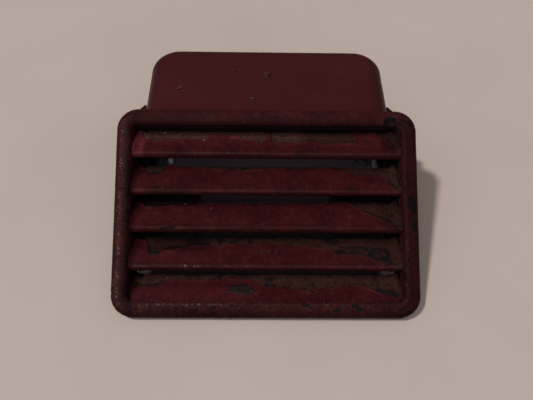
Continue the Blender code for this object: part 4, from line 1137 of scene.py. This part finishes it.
def frame_film(points, inset):
    """Distance inside the torn edges, and residue on the bead."""
    seed = FRAME_SEED
    x, up, out = np.moveaxis(points, -1, 0)
    flat = pair(x, up)
    film = np.full(x.shape, 4.0)
    dark = np.zeros(x.shape)
    ragged = 0.9 * fbm(points, 4.0, 3, seed + 1)
    # the right inner wall is bare below a wavering line
    right = (x > 50) & (up > 6) & (up < FACE_H - 5) & (inset > BEAD_CREST + 0.8)
    limit = 2.6 + 1.6 * fbm(points, 9.0, 3, seed + 2)
    film = np.where(right, np.minimum(film, (limit + out) + ragged), film)
    for shape, share in BARE_CORNER:
        film = np.minimum(film, ellipse(flat, *shape) + ragged * share)
    warped = pair(x + 0.6 * noise(points, 1.8, seed + 5) + 0.2 * noise(points, 0.7, seed + 15),
                  up + 0.8 * noise(points, 1.8, seed + 6) + 0.3 * noise(points, 0.7, seed + 16))
    waved = pair(x + 0.7 * noise(points, 3.4, seed + 17), up + 0.9 * noise(points, 3.4, seed + 19))
    for shape in DARK_RIGHT:
        dark = np.maximum(dark, 0.66 * smooth(1.0, -0.6, ellipse(waved, *shape)))
    chip_edge = 0.3 * noise(points, 0.9, seed + 18)
    for shape in FRAME_CHIPS:
        gap = ellipse(warped, *shape) + chip_edge
        film = np.minimum(film, gap + 0.1)
        dark = np.maximum(dark, 0.80 * smooth(0.6, -0.4, gap))
    for shape, strength in DARK_CORNER:
        dark = np.maximum(dark, strength * smooth(0.6, -0.5, ellipse(warped, *shape)))
    # pin chips over the bead, denser at the bottom and the right
    density = 0.10 + 0.25 * smooth(14, 2, up) + 0.10 * smooth(60, 72, x)
    cell = 2.3
    chosen = lattice_hash(np.floor(x / cell), np.floor(up / cell), np.zeros_like(x), 77)
    pins = spots(flat, cell, seed + 20, 0.30, 0.14, 0.5) * (chosen < density * 2.2)
    film = np.where((pins > 0.3) & (inset < 7.5), np.minimum(film, -0.1), film)
    return np.clip(film, -6, 6), dark


def frame_grit(x, up, inset, share):
    """Pebbling: strong on the left bead and the right inner ridge, weak on the top bead."""
    ridge = smooth(8.2, 5.5, inset) * smooth(6.8, 3.0, np.abs(inset - 6.8) * 2)
    grit = (0.25 + 0.75 * smooth(-62, -69, x) + 0.6 * smooth(64, 68, x) * ridge
            + 0.5 * smooth(9, 3, up))
    grit = np.clip(grit * (0.75 + 0.5 * noise(pair(x, up), 7.0, FRAME_SEED + 8)), 0, 1)
    return grit * np.where(share > 0.15, 0.25, 1.0)


def side_weights(places):
    """How far each place faces each of the four sides."""
    edge_x, edge_up = outline(places, np.array([0.0]))
    deep_x, deep_up = outline(places, np.array([4.0]))
    dx, dup = edge_x - deep_x, edge_up - deep_up
    length = np.maximum(np.hypot(dx, dup), 1e-6)
    dx, dup = dx / length, dup / length
    facing = {"left": -dx, "right": dx, "top": dup, "bottom": -dup}
    return {side: np.clip(value, 0, 1) ** 2 for side, value in facing.items()}


# pale specks: mostly painted glints in bands along the beads, and a few single flecks
def frame_flecks(points, inset, share, side):
    seed = FRAME_SEED
    x, up, out = np.moveaxis(points, -1, 0)
    slanted = pair(x + out * 0.7, up + out * 0.7)
    dots = spots(slanted, 1.05, seed + 93, 0.5, 0.35, 0.75)

    def band(strength, name, centre, edges, patch, size, offset):
        """Dots in a band of insets on one side, in noise patches."""
        return (strength * dots * side[name] * smooth(*edges, np.abs(inset - centre))
                * smooth(*patch, noise(slanted, size, seed + offset)))

    near_left = smooth(-66, -58, x) * smooth(-12, -30, x)
    fleck = band(0.60, "left", 3.0, (1.5, 0.5), (-0.3, 0.4), 4.0, 94)
    for more in (band(0.85, "bottom", 6.1, (0.9, 0.3), (-0.5, 0.1), 4.0, 95) * near_left,
                 band(0.45, "bottom", 5.6, (2.6, 1.0), (0.1, 0.7), 5.0, 96),
                 band(0.55, "right", 6.6, (1.0, 0.3), (0.0, 0.5), 4.0, 97),
                 band(0.35, "top", 4.0, (2.5, 1.0), (0.3, 0.8), 6.0, 98)):
        fleck = np.maximum(fleck, more)
    for cx, cup, radius, strength in FRAME_FLECKS:
        spot = smooth(radius, radius * 0.3, np.hypot(x - cx, up - cup))
        fleck = np.maximum(fleck, strength * spot * (share < 0))
    return fleck


def make_frame_coat():
    """Rim, bead and inner wall in one closed skin round the face."""
    seed = FRAME_SEED
    places = perimeter(0.5)
    outer, liner = frame_sections()
    inset, _, share = outer.T
    points = frame_surface(places, outer)
    normals = grid_normals(points, wrap=True)
    if normals[len(places) // 2, 12, 2] < 0:
        normals = -normals
    x, up, out = np.moveaxis(points, -1, 0)
    rows, columns = x.shape
    film, dark = frame_film(points, inset)
    grit = frame_grit(x, up, inset, share)
    pebble = spots(pair(x + out * 0.6, up + out * 0.6), 0.95, seed + 30, 0.8, 0.3, 0.65)
    height, lift = film_height(film, points, seed + 60, curl=0.6, thick=0.24)
    height = (0.05 + height + 0.13 * grit * (pebble - 0.35) + 0.05 * fbm(points, 9.0, 2, seed + 61)
              - 0.06 * dark)
    # fade into the rim's lower edge and the wall's rear edge
    place = np.arange(columns)
    fade = smooth(-0.5, 3.0, place) * smooth(columns - 0.5, columns - 3.0, place)
    height = height * fade + 0.02

    # painted shade down the inner walls and inside the top bead, and sooty marks with painted shadow
    # beside the torn edges
    side = side_weights(places)
    open_left = (side["left"] * smooth(70, 73, up) * smooth(87, 83, up)
                 * smooth(0.55, 0.38, share))
    walls = ((0.98 - 0.25 * side["bottom"]) * smooth(0.05, 0.20, share)
             * (1 - side["right"]) * (1 - 0.65 * open_left))
    right_wall = side["right"] * (1 - 0.8 * smooth(24, 17, up)) * smooth(0.20, 0.27, share)
    beside = edge_soot_and_shadow(film) * smooth(0.1, 0.6, noise(pair(x, up), 5.0, seed + 50))
    under_top = side["top"] * smooth(7.3, 8.2, inset) * (share < 0)
    for more in (walls, 0.98 * right_wall, 0.7 * beside, 0.8 * under_top):
        dark = np.maximum(dark, more)

    # painted light and shade from SIDE_TONES
    travel = np.where(share >= 0, BEAD_W + 1.0 + 12.0 * np.maximum(share, 0), inset)
    tone = sum(side[name] * np.interp(travel, TONE_AT, SIDE_TONES[name]) for name in SIDE_TONES)
    tone = tone * (1 + 0.16 * fbm(points, 9.0, 3, seed + 90))
    fleck = frame_flecks(points, inset, share, side)

    # both skins stay just above the base plane
    skin = to_row(points + normals * height[..., None])
    under = to_row(frame_surface(places, liner))
    skin[..., 2] = np.maximum(skin[..., 2], 0.04 * MM)
    under[..., 2] = np.maximum(under[..., 2], 0.06 * MM)
    verts = np.concatenate([skin.reshape(-1, 3), under.reshape(-1, 3)])
    base, depth = rows * columns, len(liner)
    faces = quads(rows, columns, wrap=True)
    faces += quads(rows, depth, wrap=True, start=base, flip=True)
    for k in range(rows):
        after = (k + 1) % rows
        top_a, top_b = k * columns, after * columns
        low_a, low_b = base + k * depth, base + after * depth
        faces.append((top_a, low_a, low_b, top_b))
        faces.append((top_a + columns - 1, top_b + columns - 1, low_b + depth - 1,
                      low_a + depth - 1))
    values = {"film": film, "dark": dark, "lift": lift, "grit": grit, "fleck": fleck, "tone": tone}
    values = with_liner(values, rows * depth, {"film": 3.0, "tone": 0.5})
    add_skin("paint_face_frame", verts, faces, values, WORN)


# ---------------------------------------------------------------- hood coat
# chips on the flat top: x, y, radius in x, radius in y, turn (degrees)
HOOD_CHIPS = (
    (-46.6, 39.6, 1.7, 1.3, 20), (-44.7, 37.3, 1.3, 0.7, 40), (-18.1, 53.7, 0.9, 0.6, 0),
    (0.3, 51.2, 1.6, 1.0, -15), (0.6, 49.2, 1.2, 0.8, 10), (-7.6, 32.0, 1.4, 1.3, 25),
    (-9.6, 33.0, 0.8, 0.6, 0), (-13.2, 33.8, 0.9, 0.35, 15), (-6.4, 30.4, 0.9, 0.5, -40),
    (5.5, 48.6, 0.7, 0.35, 0), (24.0, 41.0, 0.35, 0.35, 0), (-33.0, 38.6, 0.4, 0.3, 0),
)
HOOD_STEP = 1.0
HOOD_INMOST = HOOD_HALF - 0.6                  # inset of the innermost ring


def hood_levels():
    """(z, inset) of each ring: up the walls, over the rounded edge, in across the flat top."""
    wall_top = HOOD_TOP - HOOD_EDGE
    wall_count = int(wall_top / (HOOD_STEP * 1.2))
    levels = [(z, 0.0) for z in np.linspace(0.4, wall_top, wall_count)]
    for share in np.linspace(0, 1, int(8.6 / (HOOD_STEP * 0.6)))[1:]:
        angle = math.pi / 2 * share
        levels.append((wall_top + HOOD_EDGE * math.sin(angle), HOOD_EDGE * (1 - math.cos(angle))))
    for inset in np.linspace(HOOD_EDGE, HOOD_INMOST, int(57.9 / HOOD_STEP))[1:]:
        levels.append((HOOD_TOP, inset))
    return levels


def hood_ring(z, inset):
    """A U-shaped ring: up the left leg, round the rear, back down the right leg."""
    leg_count, arc_count = int(56 / HOOD_STEP), int(23.5 / (HOOD_STEP * 0.9))
    rear_count = int(97 / HOOD_STEP)
    drop = (HOOD_TOP - z) / HOOD_TOP
    half = HOOD_HALF + (HOOD_BASE_HALF - HOOD_HALF) * drop - inset
    # on the flat top the rings crowd together along Y so that they fit in front of the rear
    squeeze = (HOOD_REAR - HOOD_EDGE - 18.6) / (HOOD_INMOST - HOOD_EDGE)
    inset_y = inset if inset <= HOOD_EDGE else HOOD_EDGE + (inset - HOOD_EDGE) * squeeze
    rear = HOOD_REAR + HOOD_FLARE * drop - inset_y
    radius = min(max(HOOD_CORNER - inset, 0.6), half * 0.98)
    # the legs end on the flange plane low down and under the top bead higher up
    flange_up = (z - LIFT + FLANGE_DEPTH * COS) / SIN
    if flange_up < TUCK_UP:
        front = -HOOD_FRONT + FLANGE_DEPTH * SIN + flange_up * COS
    else:
        front = -HOOD_FRONT + TUCK_UP * COS - (z - LIFT - TUCK_UP * SIN) / COS * SIN
    front = min(front, rear - radius - 0.3)
    leg = np.linspace(front, rear - radius, leg_count, endpoint=False)
    angles = np.linspace(0, math.pi / 2, arc_count)
    rear_x = np.linspace(-half + radius, half - radius, rear_count)[1:-1]
    pad = np.zeros(len(rear_x))
    if inset < HOOD_EDGE + 0.01:
        fade = 1.0 if inset < 0.7 else max(0.0, 1 - (inset - 0.7) / 1.5)
        pad = (PAD_RISE * smooth(PAD_HALF + 1.2, PAD_HALF - 1.2, np.abs(rear_x))
               * smooth(5.8, 8.0, z) * fade)
    ring = [(-half, y) for y in leg]
    ring += [(-half + radius - radius * math.cos(angle), rear - radius + radius * math.sin(angle))
             for angle in angles]
    ring += list(zip(rear_x, rear - pad))
    ring += [(half - radius + radius * math.sin(angle), rear - radius + radius * math.cos(angle))
             for angle in angles]
    ring += [(half, y) for y in leg[::-1]]
    return [(x, y, z) for x, y in ring]


def hood_film(points):
    """Distance outside the chips, and which side of a chip a point is on."""
    x, y, z = np.moveaxis(points, -1, 0)
    flat = pair(x, y)
    on_top = z > HOOD_TOP - 0.6
    film = np.full(x.shape, 4.0)
    chip_shading = np.zeros(x.shape)
    warped = pair(x + 0.4 * noise(flat, 0.9, 7), y + 0.4 * noise(flat, 0.9, 8))
    for cx, cy, rx, ry, turn in HOOD_CHIPS:
        gap = ellipse(warped, cx, cy, rx, ry, turn)
        across = ((x - cx) * 0.55 - (y - cy) * 0.84) / (0.5 * (rx + ry))
        chip_shading = np.where(on_top & (gap < film) & (gap < 1.2), np.clip(across, -1.3, 1.3), chip_shading)
        film = np.where(on_top, np.minimum(film, gap), film)
    pins = spots(pair(x + z, y + z * 0.7), 7.0, HOOD_SEED, 0.16, 0.3, 0.9)
    film = np.where(pins > 0.4, np.minimum(film, -0.08), film)
    # wear along the upper edge
    wear = (smooth(0.25, 0.7, noise(points, 5.0, HOOD_SEED + 4))
            * smooth(2.2, 0.6, np.abs(z - (HOOD_TOP - 1.2)))
            * (noise(points, 1.1, HOOD_SEED + 5) > 0.62))
    return np.where((wear > 0.5) & ~on_top, np.minimum(film, -0.05), film), chip_shading


def hood_tone(points):
    x = points[..., 0]
    # painted light and shade: a little darker towards +X, darker on the right side's rounded strip,
    # in a narrow band on the left side and on the walls' front ends
    tone = (1 + 0.06 * fbm(points, 20.0, 2, HOOD_SEED + 90)) * (1.0 - 0.0010 * (x + 40)) * 0.97
    tone[[0, -1]] *= 0.4                       # the walls' front ends
    side_gap = HOOD_HALF - np.abs(x)
    tone = tone * (1 - 0.24 * smooth(10.0, 3.0, side_gap) * (x > 0)
                   - 0.10 * smooth(5.5, 4.0, side_gap) * smooth(1.5, 3.0, side_gap) * (x < 0))
    return tone


def make_hood_coat():
    """Closed skin of U-shaped rings from the foot of the walls to the middle of the top."""
    rings = [hood_ring(z, inset) for z, inset in hood_levels()]
    points = np.array(rings).transpose(1, 0, 2)     # (round the ring, level, 3)
    normals = grid_normals(points)
    if normals[5, 5, 0] > 0:
        normals = -normals
    film, chip_shading = hood_film(points)
    height = (0.06 + 0.12 * smooth(-0.3, 0.35, film)
              + 0.05 * np.exp(-(np.maximum(film, 0) / 0.5) ** 2) * (film > 0)
              + 0.045 * fbm(points, 13.0, 3, HOOD_SEED + 1)
              + 0.016 * fbm(points, 2.8, 2, HOOD_SEED + 2))
    skin = points + normals * height[..., None]
    liner = points - normals * 0.35
    liner[..., 2] = np.maximum(liner[..., 2], 0.4)
    verts = np.concatenate([skin.reshape(-1, 3), liner.reshape(-1, 3)])
    verts = verts + np.array((0, SHIFT_Y, 0))
    rows, columns = film.shape
    base = rows * columns
    faces = quads(rows, columns) + quads(rows, columns, start=base, flip=True)
    # a rim all round joins the skin to its liner
    rim = [i * columns for i in range(rows)]
    rim += [(rows - 1) * columns + j for j in range(1, columns)]
    rim += [i * columns + columns - 1 for i in range(rows - 2, -1, -1)]
    rim += list(range(columns - 2, 0, -1))
    for here, after in zip(rim, rim[1:] + rim[:1]):
        faces.append((here, base + here, base + after, after))
    values = {"film": np.clip(film, -4, 4), "tone": hood_tone(points), "chip_shading": chip_shading}
    # the liner's tone of 0.04 is painted shade inside the hood
    values = with_liner(values, base, {"film": 3.0, "tone": 0.04})
    add_skin("paint_hood", verts * MM, faces, values, HOOD)


for slat in range(1, 6):
    make_slat(slat)
make_frame_coat()
make_hood_coat()


# ---------------------------------------------------------------- floor
def table_material():
    """Pale table with painted shade under the vent, darkest towards its front."""
    mat = Shader("pale_table")
    cloud = mat.noise(60.0, 3, 0.5, seed=1.0)
    x, y, _ = mat.xyz()
    along = mat.times(mat.step(y, -63.0, -60.0), mat.step(y, 66.0, 60.0))
    under = mat.times(mat.step(mat.math("ABSOLUTE", x), 62.0, 59.0), along)
    shade = mat.tint((0.095, 0.075, 0.098), (0.350, 0.262, 0.350), y, -8.0, 20.0)
    shade = mat.tint((0.070, 0.066, 0.078), shade, y, -14.0, -6.0)
    table = mat.tint((0.676, 0.566, 0.510), (0.698, 0.588, 0.532), cloud, 0.3, 0.7)
    normal = mat.bump(mat.noise(0.6, 4, 0.6, seed=2.0), depth=0.02, strength=0.5)
    return mat.finish(mat.mix(under, table, shade), 0.62, normal, spec=0.25)


def make_floor():
    half, level = 1.5, -0.0004                 # metres
    corners = [(-half, -half, level), (half, -half, level), (half, half, level),
               (-half, half, level)]
    mesh = bpy.data.meshes.new("floor")
    mesh.from_pydata(corners, [], [(0, 1, 2, 3)])
    mesh.materials.append(table_material())
    made = add_object("floor", mesh)
    return made


# ---------------------------------------------------------------- world, lights, camera
def make_world():
    """Warm white surroundings, brighter towards -Y."""
    world = bpy.data.worlds.new("studio")
    world.use_nodes = True
    tree = world.node_tree
    background = tree.nodes["Background"]
    background.inputs["Color"].default_value = (1.0, 0.945, 0.925, 1.0)
    coords = tree.nodes.new("ShaderNodeTexCoord")
    split = tree.nodes.new("ShaderNodeSeparateXYZ")
    strength = tree.nodes.new("ShaderNodeMapRange")
    for key, value in (("From Min", -1.0), ("From Max", 1.0), ("To Min", 0.46), ("To Max", 0.10)):
        strength.inputs[key].default_value = value
    tree.links.new(coords.outputs["Generated"], split.inputs[0])
    tree.links.new(split.outputs["Y"], strength.inputs["Value"])
    tree.links.new(strength.outputs[0], background.inputs["Strength"])
    bpy.context.scene.world = world


def add_sun(name, energy, size, towards, colour, receivers):
    """A soft sun, `size` degrees wide, that lights only its receivers."""
    data = bpy.data.lights.new(name, "SUN")
    data.energy = energy
    data.angle = math.radians(size)
    data.color = colour
    sun = add_object(name, data)
    sun.rotation_mode = "QUATERNION"
    sun.rotation_quaternion = Vector(towards).to_track_quat("Z", "Y")
    group = bpy.data.collections.new(name + "_receivers")
    for receiver in receivers:
        group.objects.link(receiver)
    sun.light_linking.receiver_collection = group


def make_camera():
    data = bpy.data.cameras.new("camera")
    data.sensor_width = 36.0
    data.lens = 36.47
    data.clip_start = 0.01
    data.clip_end = 10.0
    camera = add_object("camera", data)
    right = Vector((0.99983615, -0.00371458, 0.01771668))
    upward = Vector((-0.00681264, 0.82954606, 0.55839674))
    ahead = Vector((0.01677101, 0.55842594, -0.82938483))
    place = Vector((-0.004715, -0.171072 + SHIFT_Y * MM, 0.255201))
    rows = [(right[k], upward[k], -ahead[k], place[k]) for k in range(3)]
    camera.matrix_world = Matrix((*rows, (0, 0, 0, 1)))
    bpy.context.scene.camera = camera


floor = make_floor()
make_world()
vent = [item for item in bpy.context.scene.objects if item.type == "MESH" and item is not floor]
add_sun("table_key", energy=1.44, size=5.5, towards=(-0.475, -0.012, 0.87),
        colour=(1.0, 0.985, 0.965), receivers=[floor])
add_sun("vent_key", energy=1.48, size=40.0, towards=(-0.38, -0.22, 0.89),
        colour=(1.0, 0.985, 0.97), receivers=vent)
make_camera()
bpy.context.scene.view_settings.view_transform = "Standard"
bpy.context.scene.view_settings.look = "None"

bpy.context.view_layer.update()
